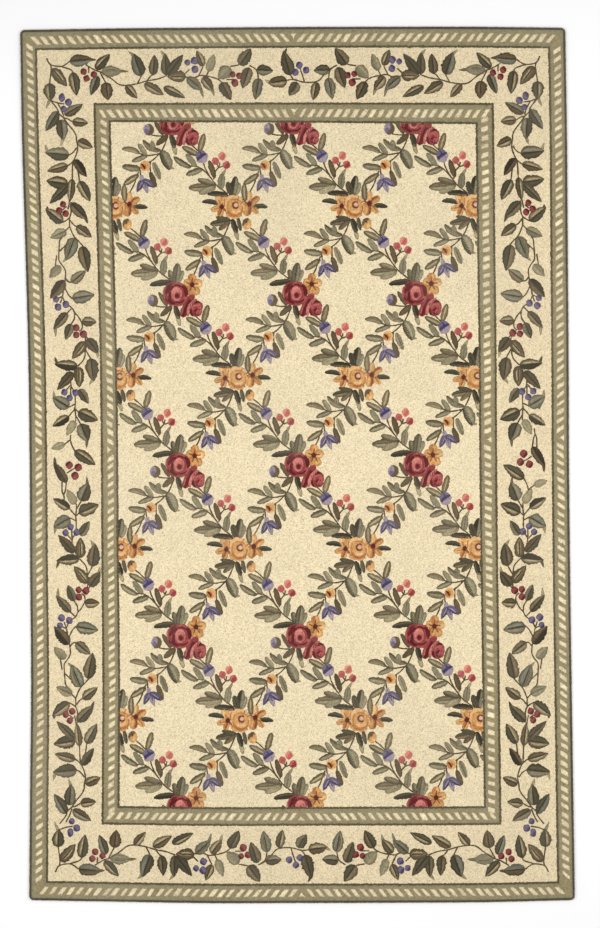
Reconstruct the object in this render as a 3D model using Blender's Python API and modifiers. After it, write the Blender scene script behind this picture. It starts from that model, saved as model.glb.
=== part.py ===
"""A hooked rug: one flat body of canvas and looped pile, with a whipped edge in four runs.

Metres, +Z up. The rug lies on z = 0 with its length along Y and its width along X,
and the origin is the middle of its underside.
"""
import math

import bpy

# Driving dimensions
WIDTH = 1.524            # five feet
LENGTH = 2.438           # by eight feet
BODY_THICKNESS = 0.009   # canvas and pile together
EDGE_THICKNESS = 0.0095  # the whipping stands a little proud of the pile
EDGE_WIDTH = 0.008       # how far the whipping reaches in from the rim
SEAM_GAP = 0.0003        # between pieces that touch

# How the rug lies. Each rim's shift from its place on the squared-up rug, at even stations:
# along the sides from the foot up, and along the ends from left to right
LEFT_RIM = (0.0104, 0.0128, 0.0157, 0.0132, 0.0118, 0.0079, -0.0005, -0.0097, -0.0150)
RIGHT_RIM = (0.0139, 0.0092, 0.0047, 0.0005, -0.0026, -0.0037, -0.0062, -0.0082, -0.0132)
FOOT_RIM = (0.0013, -0.0031, -0.0070, -0.0065, -0.0059, -0.0043, 0.0019)
TOP_RIM = (-0.0027, 0.0017, 0.0040, 0.0059, 0.0065, 0.0065, 0.0037)
CORNER_ROUND = 0.0055    # radius of the rug's four corners
CORNER_STEPS = 4

STEP = 0.060             # greatest distance between two points of an outline
BODY_ROUND = 0.0012      # round-over of the body's rims
EDGE_ROUND = 0.0022      # round-over of the whipping
ROUND_STEPS = 2

PILE_COLOUR = (0.72, 0.60, 0.41)
EDGE_COLOUR = (0.105, 0.092, 0.055)
WOOL_ROUGHNESS = 0.95


def shift_at(rim, share):
    """A rim's shift at a share of its length, on one smooth curve through its stations."""
    place = share * (len(rim) - 1)
    i = min(max(int(place), 0), len(rim) - 2)
    before = rim[i - 1] if i > 0 else 2 * rim[0] - rim[1]
    here, ahead = rim[i], rim[i + 1]
    after = rim[i + 2] if i + 2 < len(rim) else 2 * rim[-1] - rim[-2]
    f = place - i
    return here + f / 2 * (ahead - before + f * (
        2 * before - 5 * here + 4 * ahead - after + f * (3 * here - before - 3 * ahead + after)))


def as_it_lies(u, v):
    """Where a point of the squared-up rug comes to lie on the floor."""
    across, along = 0.5 + u / WIDTH, 0.5 + v / LENGTH
    x = u + (1 - across) * shift_at(LEFT_RIM, along) + across * shift_at(RIGHT_RIM, along)
    y = v + (1 - along) * shift_at(FOOT_RIM, across) + along * shift_at(TOP_RIM, across)
    return x, y


def outline(u0, u1, v0, v1, rounded=()):
    """The rim of the patch between two widths and two lengths, anticlockwise.

    rounded names the corners that are rounded off, from 0 at the lower left to 3 at the
    upper left.
    """
    corners = []
    for i, (u, v) in enumerate([(u0, v0), (u1, v0), (u1, v1), (u0, v1)]):
        if i not in rounded:
            corners.append((u, v))
            continue
        middle_u = u + CORNER_ROUND if i in (0, 3) else u - CORNER_ROUND
        middle_v = v + CORNER_ROUND if i in (0, 1) else v - CORNER_ROUND
        for k in range(CORNER_STEPS + 1):
            angle = math.pi + (i + k / CORNER_STEPS) * math.pi / 2
            corners.append((middle_u + CORNER_ROUND * math.cos(angle),
                            middle_v + CORNER_ROUND * math.sin(angle)))
    points = []
    for (ua, va), (ub, vb) in zip(corners, corners[1:] + corners[:1]):
        steps = max(1, math.ceil(math.hypot(ub - ua, vb - va) / STEP))
        for i in range(steps):
            share = i / steps
            points.append(as_it_lies(ua + (ub - ua) * share, va + (vb - va) * share))
    return points


def wool(name, colour):
    """A matt wool material of one colour."""
    material = bpy.data.materials.new(name)
    material.use_nodes = True
    shader = material.node_tree.nodes["Principled BSDF"]
    shader.inputs["Base Color"].default_value = (*colour, 1)
    shader.inputs["Roughness"].default_value = WOOL_ROUGHNESS
    shader.inputs["Metallic"].default_value = 0
    return material


def flat_piece(name, points, thickness, round_over, material, collection):
    """A flat piece standing on the floor, cut to an outline and rounded over at its rims."""
    count = len(points)
    places = [(x, y, z) for z in (0, thickness) for x, y in points]
    underside, top = tuple(reversed(range(count))), tuple(range(count, 2 * count))
    walls = [(i, (i + 1) % count, (i + 1) % count + count, i + count) for i in range(count)]
    mesh = bpy.data.meshes.new(name)
    mesh.from_pydata(places, (), [underside, top, *walls])
    mesh.materials.append(material)

    piece = bpy.data.objects.new(name, mesh)
    collection.objects.link(piece)
    bevel = piece.modifiers.new("Round over", "BEVEL")
    bevel.width = round_over
    bevel.segments = ROUND_STEPS
    bevel.limit_method = "ANGLE"
    bevel.angle_limit = math.radians(40)
    return piece


def build():
    for obj in list(bpy.data.objects):
        bpy.data.objects.remove(obj)
    collection = bpy.data.collections.new("hooked_rug")
    bpy.context.scene.collection.children.link(collection)

    pile = wool("hooked_wool", PILE_COLOUR)
    whipping = wool("whipping_wool", EDGE_COLOUR)

    half_width, half_length = WIDTH / 2, LENGTH / 2
    rim_u, rim_v = half_width - EDGE_WIDTH, half_length - EDGE_WIDTH
    body_u, body_v = rim_u - SEAM_GAP, rim_v - SEAM_GAP
    flat_piece("hooked_body", outline(-body_u, body_u, -body_v, body_v),
               BODY_THICKNESS, BODY_ROUND, pile, collection)

    # The side runs take the corners, and the end runs lie between them.
    end_u = rim_u - SEAM_GAP
    runs = {
        "edge_left": outline(-half_width, -rim_u, -half_length, half_length, (0, 3)),
        "edge_right": outline(rim_u, half_width, -half_length, half_length, (1, 2)),
        "edge_top": outline(-end_u, end_u, rim_v, half_length),
        "edge_foot": outline(-end_u, end_u, -half_length, -rim_v),
    }
    for name, points in runs.items():
        flat_piece(name, points, EDGE_THICKNESS, EDGE_ROUND, whipping, collection)


build()
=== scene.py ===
"""The looks of a hooked rug: wool loops on canvas, in bands of rope round a leafy vine, with a
trellis of flower sprays on the field and a whipped rim.

Metres, +Z up. The rug lies on z = 0 with its length along Y, and the origin is the middle of its
underside. Every piece is laid out on the squared-up rug, where u runs across and v runs along
it, and as_it_lies() then gives it the uneven shape that the rug has on the floor.
"""
import math
from collections import namedtuple

import bmesh
import bpy
import numpy as np
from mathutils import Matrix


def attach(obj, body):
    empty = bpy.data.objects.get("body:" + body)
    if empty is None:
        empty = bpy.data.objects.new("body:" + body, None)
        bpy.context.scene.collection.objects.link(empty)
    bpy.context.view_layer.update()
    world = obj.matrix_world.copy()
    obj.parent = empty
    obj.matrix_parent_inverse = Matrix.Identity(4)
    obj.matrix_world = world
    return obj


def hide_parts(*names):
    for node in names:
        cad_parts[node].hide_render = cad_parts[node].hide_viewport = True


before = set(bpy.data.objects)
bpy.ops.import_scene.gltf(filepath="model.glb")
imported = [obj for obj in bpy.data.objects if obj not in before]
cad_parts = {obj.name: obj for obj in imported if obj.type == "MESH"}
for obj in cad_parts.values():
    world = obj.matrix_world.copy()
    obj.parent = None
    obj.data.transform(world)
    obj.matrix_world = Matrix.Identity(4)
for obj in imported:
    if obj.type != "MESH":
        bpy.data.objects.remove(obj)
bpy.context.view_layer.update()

# ---------------------------------------------------------------- sizes

WIDTH, LENGTH = 1.524, 2.438     # the squared-up rug

# Each rim's shift from its place on the squared-up rug, at even stations:
# along the sides from the foot up, and along the ends from left to right
LEFT_RIM = (0.0104, 0.0128, 0.0157, 0.0132, 0.0118, 0.0079, -0.0005, -0.0097, -0.0150)
RIGHT_RIM = (0.0139, 0.0092, 0.0047, 0.0005, -0.0026, -0.0037, -0.0062, -0.0082, -0.0132)
FOOT_RIM = (0.0013, -0.0031, -0.0070, -0.0065, -0.0059, -0.0043, 0.0019)
TOP_RIM = (-0.0027, 0.0017, 0.0040, 0.0059, 0.0065, 0.0065, 0.0037)

Level = namedtuple("Level", "foot loop")      # where a layer's loops start, and how far they rise
CANVAS_TOP = 0.0046
GROUND = Level(0.0069, 0.0006)
LINE = Level(0.0072, 0.0009)
BAR = Level(0.0075, 0.0007)
STEM_HEIGHT = 0.0077
LEAF = Level(0.0078, 0.0006)
BLOOM = Level(0.0083, 0.0006)
STROKE_LIFT = 0.0013             # a stroke's step up over the round bloom below it
STRAND_WIDTH, STRAND_LIFT = 0.0050, 0.0011   # one row of another wool along a leaf
STACK = 0.00010                  # one motif's step up over the one that it covers
HEM_DROP = 0.0016                # how far the rim of a motif tucks down into the pile
HEM = 0.0006                     # and how wide its slope is
SWAY = 0.00045                   # how far a loop may lean from its place in the row
DYE_SPREAD, BAND_SPREAD = 0.07, 0.05         # of the shade, from loop to loop

GROUND_STEP = 0.0053             # between points of the ground pile
ALONG_STEP = 0.0037              # between points along a row of a motif
ACROSS_STEP = 0.0033             # between rows of a motif
BAR_ROWS, BAR_COLUMNS = 6, 4     # of loops in a bar of the rope
RING_STEP = 0.0026               # between rings of a round motif

Inset = namedtuple("Inset", "side end")       # how far in from the rim, at the sides and at the ends
Ring = namedtuple("Ring", "foot_left foot_right top_right top_left")      # by its corners' insets
RIM = Ring(Inset(0, 0), Inset(0, 0), Inset(0, 0), Inset(0, 0))
OUTER_LINE = Ring(Inset(0.0504, 0.0528), Inset(0.0468, 0.0511), Inset(0.0468, 0.0560),
                  Inset(0.0444, 0.0552))
MIDDLE_LINE = Ring(Inset(0.2045, 0.2185), Inset(0.2060, 0.2185), Inset(0.2070, 0.2156),
                   Inset(0.2050, 0.2110))
INNER_LINE = Ring(Inset(0.2492, 0.2652), Inset(0.2488, 0.2655), Inset(0.2532, 0.2690),
                  Inset(0.2468, 0.2590))
LINE_WIDTH = 0.0066
LINE_STEP = 0.0034               # between points of a dark line
LINE_WANDER = 0.0007             # how far a dark line's points stray
FIELD_INSET = 0.4 * LINE_WIDTH   # from the inner line to where the trellis is cut off
RIM_WIDTH = 0.0070               # of the whipping, before the pile starts
WHIP_INSET, WHIP_CORNER = 0.0042, 0.008      # where the whipping's middle runs, and round what
WHIP_LEVEL, WHIP_STEP, WHIP_TURN = 0.00478, 0.012, 5     # its height, step and points a corner
CANVAS_INSET, CANVAS_STEP = 0.0045, 0.04
CANVAS_FOOT = 0.0002             # the canvas's clearance over the floor
WELD = 0.00002                   # points of the pile nearer than this become one
MAP_REACH, MAP_GAP = 0.8, 0.006  # longest stretch on the map and its gaps, as shares of its side
ROUTE_PARTS = 6                  # points of a stem between two charted ones

SEED = 1524
draw = np.random.default_rng(SEED)


def curved(before, here, ahead, after, share):
    """A point between here and ahead, on a smooth curve through all four."""
    return here + share / 2 * (ahead - before + share * (
        2 * before - 5 * here + 4 * ahead - after
        + share * (3 * here - before - 3 * ahead + after)))


def shift_at(rim, share):
    """A rim's shift at a share of its length, on a smooth curve through its stations."""
    stations = np.array((2 * rim[0] - rim[1], *rim, 2 * rim[-1] - rim[-2]))
    place = np.asarray(share) * (len(rim) - 1)
    i = np.clip(place.astype(int), 0, len(rim) - 2)
    return curved(*(stations[i + k] for k in range(4)), place - i)


def as_it_lies(u, v):
    """Where a point of the squared-up rug comes to lie on the floor."""
    across, along = 0.5 + u / WIDTH, 0.5 + v / LENGTH
    x = u + (1 - across) * shift_at(LEFT_RIM, along) + across * shift_at(RIGHT_RIM, along)
    y = v + (1 - along) * shift_at(FOOT_RIM, across) + along * shift_at(TOP_RIM, across)
    return x, y


SQUARING_ROUNDS = 6              # after which the point has settled


def squared_up(x, y):
    """The point of the squared-up rug that comes to lie at x, y."""
    u, v = x, y
    for _ in range(SQUARING_ROUNDS):
        lies_x, lies_y = as_it_lies(u, v)
        u, v = u + x - lies_x, v + y - lies_y
    return np.array((u, v))


def moved_in(ring, inward):
    """The ring a little further in from the rim."""
    return Ring(*(Inset(corner.side + inward, corner.end + inward) for corner in ring))


def corners(ring):
    """The ring's corners on the squared-up rug, anticlockwise from the foot's left."""
    ways = ((-1, -1), (1, -1), (1, 1), (-1, 1))
    return np.array([(x * (WIDTH / 2 - corner.side), y * (LENGTH / 2 - corner.end))
                     for (x, y), corner in zip(ways, ring)])


def between(first, second, share):
    """The point at a share of the way from the first to the second."""
    return first + (second - first) * share


def inside(points, ring):
    """Which points of the squared-up rug lie inside a ring."""
    around = corners(ring)
    ahead = np.roll(around, -1, axis=0) - around
    away = points[..., None, :] - around
    return (ahead[:, 0] * away[..., 1] - ahead[:, 1] * away[..., 0] > 0).all(axis=-1)


# ---------------------------------------------------------------- the maker's chart

CHART_STEP = 0.002796            # metres in a step of the chart
CHART_MIDDLE = (297.7, 464.9)    # the rug's middle on the chart, whose steps count right and down
CHART_NODE = (64.0, 90.0)        # the node on the trellis's own charts

Place = namedtuple("Place", "u v across along")   # where a motif goes, and -1 where it is mirrored


def on_rug(point):
    """A point of the chart on the squared-up rug."""
    across, down = point
    return squared_up((across - CHART_MIDDLE[0]) * CHART_STEP, (CHART_MIDDLE[1] - down) * CHART_STEP)


def from_node(point):
    """A point of a trellis chart as a place about its node."""
    return np.array((point[0] - CHART_NODE[0], CHART_NODE[1] - point[1])) * CHART_STEP


def put_down(points, place):
    """Takes a motif's own points, u and v last, to its place on the squared-up rug."""
    return np.array((place.u, place.v)) + points * np.array((place.across, place.along))


# ---------------------------------------------------------------- wool colours


def dyed(code):
    """A wool's linear colour from its hexadecimal code."""
    channels = np.array([int(code[i:i + 2], 16) for i in (1, 3, 5)]) / 255
    return np.where(channels <= 0.04045, channels / 12.92, ((channels + 0.055) / 1.055) ** 2.4)


# One letter a wool, so that a chart's row can name a motif's wools in a short word
WOOLS = {letter: dyed(code) for letter, code in {
    "D": "#393226",   # darkest green
    "G": "#534D3A",   # dark green
    "T": "#7C7A66",   # teal grey
    "S": "#888066",   # sage
    "E": "#9B9070",   # pale sage
    "K": "#7D6D51",   # khaki
    "L": "#AFA179",   # light khaki
    "B": "#63533B",   # brown
    "O": "#675D45",   # olive
    "W": "#5C1A1D",   # burgundy
    "C": "#8B3C3B",   # crimson
    "R": "#A95450",   # rose
    "P": "#C8796F",   # coral pink
    "Y": "#CF9C5F",   # gold
    "A": "#E0B37C",   # apricot
    "N": "#B97A48",   # orange
    "M": "#5C241A",   # maroon
    "F": "#DDB096",   # shell
    "V": "#453E58",   # violet
    "U": "#6D6380",   # mid violet
    "I": "#9C8D95",   # lilac
    "H": "#561F22",   # berry red
    "J": "#8C413F",   # light berry red
    "j": "#BB625B",   # coral red
    "Q": "#D68875",   # coral
    "Z": "#E4D5B1",   # cream
    "X": "#85826C",   # rope green
    "x": "#958865",   # rope green between the bars
    "a": "#5D5138",   # dark line
}.items()}


BLOOM_WOOLS = "WCRPYANMFVUIHJjQ"     # of petals, whose rims darken in their own hue


def mixed(ground, wool, share):
    """A colour at each point, moved towards a wool by a share from 0 to 1."""
    share = np.clip(share, 0, 1)[..., None]
    return ground * (1 - share) + wool * share


# ---------------------------------------------------------------- rows of loops


class Rows:
    """The rows of loops of one piece, kept as grids of points until they are made a mesh."""

    def __init__(self):
        self.grids = []

    def add(self, points, height, yarn):
        """points is rows by columns by 2 on the squared-up rug, with a height and colour each."""
        self.grids.append((points, np.broadcast_to(height, points.shape[:2]),
                           np.broadcast_to(yarn, (*points.shape[:2], 3))))

    def mesh(self, name, within=None):
        """One mesh of all the grids. What lies outside the ring in within is cut off."""
        cells = [(np.linalg.norm(np.diff(points, axis=0), axis=-1).mean(),
                  np.linalg.norm(np.diff(points, axis=1), axis=-1).mean())
                 for points, _, _ in self.grids]
        area = sum(np.prod(cell) * height.size for cell, (_, height, _) in zip(cells, self.grids))
        reach = MAP_REACH * math.sqrt(area)

        places, yarns, crowns, faces, maps, blocks, sizes = [], [], [], [], [], [], []
        count = 0
        for (points, height, yarn), (long, broad) in zip(self.grids, cells):
            n, m = points.shape[:2]
            rows, columns = np.meshgrid(np.arange(n - 1), np.arange(m - 1), indexing="ij")
            rows, columns = rows.ravel(), columns.ravel()
            corner_rows = rows[:, None] + np.array((0, 1, 1, 0))
            corner_columns = columns[:, None] + np.array((0, 0, 1, 1))
            down, right = points[1:, :-1] - points[:-1, :-1], points[:-1, 1:] - points[:-1, :-1]
            if (down[..., 0] * right[..., 1] - down[..., 1] * right[..., 0]).sum() < 0:
                corner_rows, corner_columns = corner_rows[:, ::-1], corner_columns[:, ::-1]
            whole = max(1, int(reach / long))
            if within is not None:
                middles = points[corner_rows, corner_columns].mean(axis=1)
                kept = inside(middles, within)
                if not kept.any():
                    continue
                rows = rows[kept]
                corner_rows, corner_columns = corner_rows[kept], corner_columns[kept]
            faces.append(count + corner_rows * m + corner_columns)
            block = rows // whole
            blocks.append(len(sizes) + block)
            sizes += [(min(whole, n) * long, m * broad)] * (int(block.max()) + 1)
            maps.append(np.stack(((corner_rows - (block * whole)[:, None]) * long,
                                  corner_columns * broad), axis=-1))
            x, y = as_it_lies(points[..., 0], points[..., 1])
            places.append(np.stack((x, y, height), axis=-1).reshape(-1, 3))
            yarns.append(np.concatenate((yarn.reshape(-1, 3), np.ones((n * m, 1))), axis=1))
            crown = (np.add.outer(np.arange(n), np.arange(m)) % 2).astype(float)
            crown[[0, -1]] = crown[:, [0, -1]] = 0
            crowns.append(crown.ravel())
            count += n * m
        corners, side = shelved(sizes)
        maps = (np.concatenate(maps) + corners[np.concatenate(blocks)][:, None]) / side
        return row_mesh(name, places, faces, yarns, crowns, maps)


SHELF_GROWTH = 1.02              # how much the map's square grows until all its shelves fit


def shelved(sizes):
    """Puts rectangles side by side on shelves in a square. Returns their corners and its side."""
    gap = MAP_GAP * math.sqrt(sum(w * h for w, h in sizes))
    sizes = np.array(sizes) + gap
    order = np.argsort(-sizes[:, 1], kind="stable")
    side = max(math.sqrt(sizes.prod(axis=1).sum()), sizes.max())
    while True:
        corners = np.zeros_like(sizes)
        x = y = shelf = 0.0
        for i in order:
            w, h = sizes[i]
            if x + w > side:
                x, y, shelf = 0.0, y + shelf, 0.0
            shelf = max(shelf, h)
            corners[i] = x, y
            x += w
        if y + shelf <= side:
            return corners + gap / 2, side
        side *= SHELF_GROWTH


def row_mesh(name, places, faces, yarns, crowns, maps):
    """A mesh with its yarn colours, the crowns of its loops and its map, and no loose points."""
    mesh = bpy.data.meshes.new(name)
    mesh.from_pydata(np.concatenate(places), (), np.concatenate(faces))
    yarn = mesh.color_attributes.new("yarn", "FLOAT_COLOR", "POINT")
    yarn.data.foreach_set("color", np.concatenate(yarns).ravel())
    crown = mesh.attributes.new("crown", "FLOAT", "POINT")
    crown.data.foreach_set("value", np.concatenate(crowns))
    mesh.uv_layers.new(name="OFBake").data.foreach_set("uv", maps.ravel())
    shape = bmesh.new()
    shape.from_mesh(mesh)
    bmesh.ops.delete(shape, geom=[point for point in shape.verts if not point.link_faces],
                     context="VERTS")
    bmesh.ops.remove_doubles(shape, verts=shape.verts, dist=WELD)
    shape.to_mesh(mesh)
    shape.free()
    return mesh


def edged(count, hem):
    """Even stations from 0 to 1, with a narrow step at each end for a hem."""
    return np.concatenate(((0.0,), np.linspace(hem, 1 - hem, count), (1.0,)))


def hemmed(shape, level):
    """The heights of a grid whose rim tucks down into the pile."""
    height = np.full(shape, level)
    height[[0, -1]] -= HEM_DROP
    height[1:-1, [0, -1]] -= HEM_DROP
    return height


def uneven(shape, spread):
    """A factor near 1 for each loop, as wool takes the dye."""
    return 1 + spread * draw.standard_normal(shape)[..., None]


# ---------------------------------------------------------------- motifs

# bow is how far the middle of a leaf bends to its left, as a share of its length
Leaf = namedtuple("Leaf", "base tip width wools tail bow", defaults=(None, 0.0))
Berry = namedtuple("Berry", "centre radius wools tall", defaults=(1.06,))
Petal = namedtuple("Petal", "tip width wools")
Flower = namedtuple("Flower", "heart wool petals lift", defaults=(0,))
# An arc of other wool in a round bloom: shares of the bloom's radius, degrees, and its own centre
Arc = namedtuple("Arc", "radius breadth start end wool right up tall", defaults=(0.0, 0.0, 1.0))
# A round bloom. The lift of a flower or a disc is counted in STACKs
Disc = namedtuple("Disc", "centre radius wool arcs lift lobes turn tall",
                  defaults=((), 0, 0, 0.0, 1.0))

LEAF_TAPERED = (0.52, 0.84)      # powers of the distances from the base and from the tip
LEAF_POINTED = (0.42, 0.46)
LEAF_ROUND = (0.44, 0.38)
LEAF_EVEN = (0.30, 0.30)
LEAF_SLIVER = (0.20, 0.80)

# Leaves over a bloom, each a step higher than the one before
Strokes = namedtuple("Strokes", "leaves lift step powers", defaults=(STROKE_LIFT, 0.0, LEAF_EVEN))
Spray = namedtuple("Spray", "leaves blooms berries stems")

JAGS = 0.07                      # how much a leaf's edge strays, as a share of its half width
LEAST_HALF = 0.08                # a leaf's half width at its ends, as a share of its crest's
TAIL_START, TAIL_WIDTH = 0.12, 3.4           # from the tip, as a share of the leaf, and in chart steps
STRAND_STRAY = 0.0004
OUTLINE_STRAY = 0.03             # how much a bloom's outline strays, as a share of its radius
LOBE_FOOT, LOBE_RISE = 0.93, 0.11            # of its lobes, as shares of its radius
LEAF_LIGHT, LEAF_SPREAD, LEAF_ROW_SPREAD = 1.03, 0.06, 0.09      # of a leaf's shade and its rows'
PETAL_START = 0.06               # from a flower's heart, as a share of the petal
HEART_RADIUS = 2.5               # of a flower, in chart steps
VINE_WIDENING = 1.07             # of the vine's leaves from their chart


def leaf(rows, row, read, place, lift=0.0, powers=LEAF_POINTED):
    """A leaf or petal: two halves in their wools about a rib, in rows that follow its length.

    row.wools names the left half's wool, the right half's, and what marks the middle: L or
    another wool for a streak of it, D for a dark rib, m for a blush of maroon at the base.
    A fourth letter is the wool of its tail.
    """
    base, tip = read(row.base), read(row.tip)
    length, width = np.linalg.norm(tip - base), row.width * CHART_STEP
    n, m = max(4, round(length / ALONG_STEP)), max(3, 2 * round(width / ACROSS_STEP / 2) + 1)
    t = edged(n, HEM / length)[:, None]
    s = 2 * edged(m, HEM / width)[None, :] - 1
    half = leaf_half(t, width, powers)
    along = (tip - base) / length
    across = np.array((-along[1], along[0]))
    jags = JAGS * draw.standard_normal((t.size, 2))
    jagged = 1 + np.where(s > 0, jags[:, :1], jags[:, 1:]) * s ** 2
    curl = row.bow * length * 4 * t * (1 - t)
    points = base + t[..., None] * (tip - base) + (s * half * jagged + curl)[..., None] * across
    yarn = leaf_yarn(row.wools, t, s, powers == LEAF_TAPERED)
    rows.add(put_down(points, place), hemmed(yarn.shape[:2], LEAF.foot + lift), yarn)
    if row.tail is not None:
        start = [tip + TAIL_START * (base - tip) for base, tip in zip(row.base, row.tip)]
        wools = (row.wools + "L")[3] * 2 + "-"
        leaf(rows, Leaf(start, row.tail, TAIL_WIDTH, wools), read, place, lift - STACK, LEAF_SLIVER)


def leaf_half(t, width, powers):
    """Half a leaf's width at shares of its length."""
    early, late = powers
    crest = early / (early + late)
    full = crest ** early * (1 - crest) ** late
    return width / 2 * np.maximum(t ** early * (1 - t) ** late / full, LEAST_HALF)


def strand(rows, row, beside, reach, wool, read, place, lift):
    """One row of loops along a vine leaf: beside its rib, to its left where beside is positive."""
    base, tip = read(row.base), read(row.tip)
    length = np.linalg.norm(tip - base)
    start, stop = reach
    n = max(4, round(length * (stop - start) / (1.4 * ALONG_STEP)))
    t = np.linspace(start, stop, n)[:, None]
    along = (tip - base) / length
    across = np.array((-along[1], along[0]))
    off = beside * leaf_half(t, row.width * CHART_STEP, LEAF_TAPERED)
    off = off + STRAND_STRAY * draw.standard_normal(t.shape) + row.bow * length * 4 * t * (1 - t)
    pinch = np.clip(6 * np.minimum(t - start, stop - t) / (stop - start), 0.4, 1)
    off = off + np.array((-0.5, 0.0, 0.5)) * STRAND_WIDTH * pinch
    points = base + t[..., None] * (tip - base) + off[..., None] * across
    height = np.full(off.shape, LEAF.foot + lift + STRAND_LIFT)
    height[:, [0, 2]] -= HEM_DROP
    height[[0, -1]] -= STRAND_LIFT
    rows.add(put_down(points, place), height, WOOLS[wool] * uneven(off.shape, DYE_SPREAD))


def vine_leaf(rows, row, read, place, lift):
    """A leaf of the vine, with a dark rib between its halves and a light strand beside it."""
    leaf(rows, row, read, place, lift, LEAF_TAPERED)
    left, right, mark = row.wools[:3]
    if not (left in "SE" and right in "SE"):
        strand(rows, row, 0.0, (0.03, 0.86), "D", read, place, lift)
    if mark in "LKOB":
        lighter = -1 if WOOLS[left].sum() < WOOLS[right].sum() else 1
        strand(rows, row, 0.30 * lighter, (0.14, 0.76), mark, read, place, lift)


def leaf_yarn(wools, t, s, halved):
    """The colour of every loop of a leaf. s runs from -1 on its right edge to 1 on its left.

    A halved leaf has a dark rib, and its streak lies beside that in the lighter half.
    """
    left, right, mark = wools[:3]
    side = np.clip(0.5 + 4 * s, 0, 1) * np.ones_like(t)
    yarn = mixed(WOOLS[right] * np.ones((*side.shape, 1)), WOOLS[left], side)
    rim = np.clip((np.maximum(np.abs(s), np.abs(2 * t - 1) - 0.1) - 0.50) / 0.3, 0, 1)
    rib = np.clip(1.2 - np.abs(s) / 0.2, 0, 1) * np.clip(5 * (1 - t), 0, 1)
    if mark == "m":
        yarn = mixed(yarn, WOOLS["M"], 1.5 - 4.0 * t - 1.4 * np.abs(s))
    elif mark == "W":
        yarn = mixed(yarn, WOOLS["W"], np.clip(2.0 - 2.8 * np.abs(s + 0.05), 0, 1) + 0 * t)
    elif mark != "D" and mark in WOOLS:
        lighter = np.sign(WOOLS[left].sum() - WOOLS[right].sum())
        streak = np.clip(1.4 - np.abs(s - (0.36 if halved else 0.08) * lighter) / 0.22, 0, 1)
        strength = (0.5 if halved else 1.0) * np.clip(9 * (t - 0.06) * (1.02 - t), 0, 1)
        yarn = mixed(yarn, WOOLS[mark], strength * streak)
    if left in BLOOM_WOOLS:
        dark = WOOLS["M" if left in "YANM" else "W" if left in "CRPHW" else "V"]
        edge = (0.24 if left in "YAN" else 0.38) * rim
    else:
        pale = left in "SE" and right in "SE"
        strength = {"D": 0.85, "-": 0.15}.get(mark, 0.5 if halved and left != right else 0.0)
        yarn = mixed(yarn, WOOLS["D"], strength * rib)
        edge, dark = (0.36 if pale else 0.60) * rim, WOOLS["D"]
    yarn = mixed(yarn, dark, edge)
    shade = 1 + LEAF_ROW_SPREAD * draw.standard_normal((1, s.size))
    shade = shade * (LEAF_LIGHT + LEAF_SPREAD * draw.standard_normal())
    return yarn * shade[..., None] * uneven(side.shape, DYE_SPREAD)


def disc(rows, bloom, read, place, lift=0.0):
    """A round motif in rings of loops, with arcs of other wools, and lobes round its outline."""
    middle, radius = read(bloom.centre), bloom.radius * CHART_STEP
    lift = lift + bloom.lift * STACK
    n = max(3, round(radius / RING_STEP))
    m = max(9, round(math.tau * radius / ALONG_STEP) + 1)
    r = np.concatenate((np.linspace(0, 1 - HEM / radius, n + 1), (1.0,)))[:, None]
    angle = np.linspace(0, math.tau, m)[None, :]
    outline = 1 + OUTLINE_STRAY * np.concatenate((draw.standard_normal(m - 1), [0.0]))
    outline[-1] = outline[0]
    if bloom.lobes:
        lobe = np.abs(np.cos(bloom.lobes * (angle[0] - bloom.turn) / 2))
        outline = outline * (LOBE_FOOT + LOBE_RISE * lobe)
    x, y = r * outline * np.cos(angle), r * outline * np.sin(angle)
    points = middle + radius * np.stack((x, bloom.tall * y), axis=-1)
    yarn = np.ones((*x.shape, 1)) * WOOLS[bloom.wool]
    for arc in bloom.arcs:
        right, up = x - arc.right, (y - arc.up) / arc.tall
        sweep = (arc.end - arc.start) % 360 or 360
        past = (np.degrees(np.arctan2(up, right)) - arc.start) % 360
        ends = 1 if sweep == 360 else np.clip((sweep - past) / 16, 0, 1) * np.clip(past / 16, 0, 1)
        across = np.clip(4 - 4 * np.abs(np.hypot(right, up) - arc.radius) / (arc.breadth / 2), 0, 1)
        yarn = mixed(yarn, WOOLS[arc.wool], across * ends)
    yarn = yarn * uneven(x.shape, DYE_SPREAD)
    yarn[:, -1] = yarn[:, 0]
    height = np.full(x.shape, BLOOM.foot + lift)
    height[-1] -= HEM_DROP + lift
    rows.add(put_down(points, place), height, yarn)


def flower(rows, chart, read, place):
    """A small open flower: its petals, and its heart in the middle over whatever is beside it."""
    lift = chart.lift * STACK
    for k, petal in enumerate(chart.petals):
        start = [c + PETAL_START * (p - c) for c, p in zip(chart.heart, petal.tip)]
        leaf(rows, Leaf(start, petal.tip, petal.width, petal.wools), read, place,
             lift + (k % 2) * STACK, LEAF_ROUND)
    heart = Disc(chart.heart, HEART_RADIUS, chart.wool, (), 6, 5, 0.4, 1.1)
    disc(rows, heart, read, place, lift)


# ---------------------------------------------------------------- chart of the vine

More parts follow.
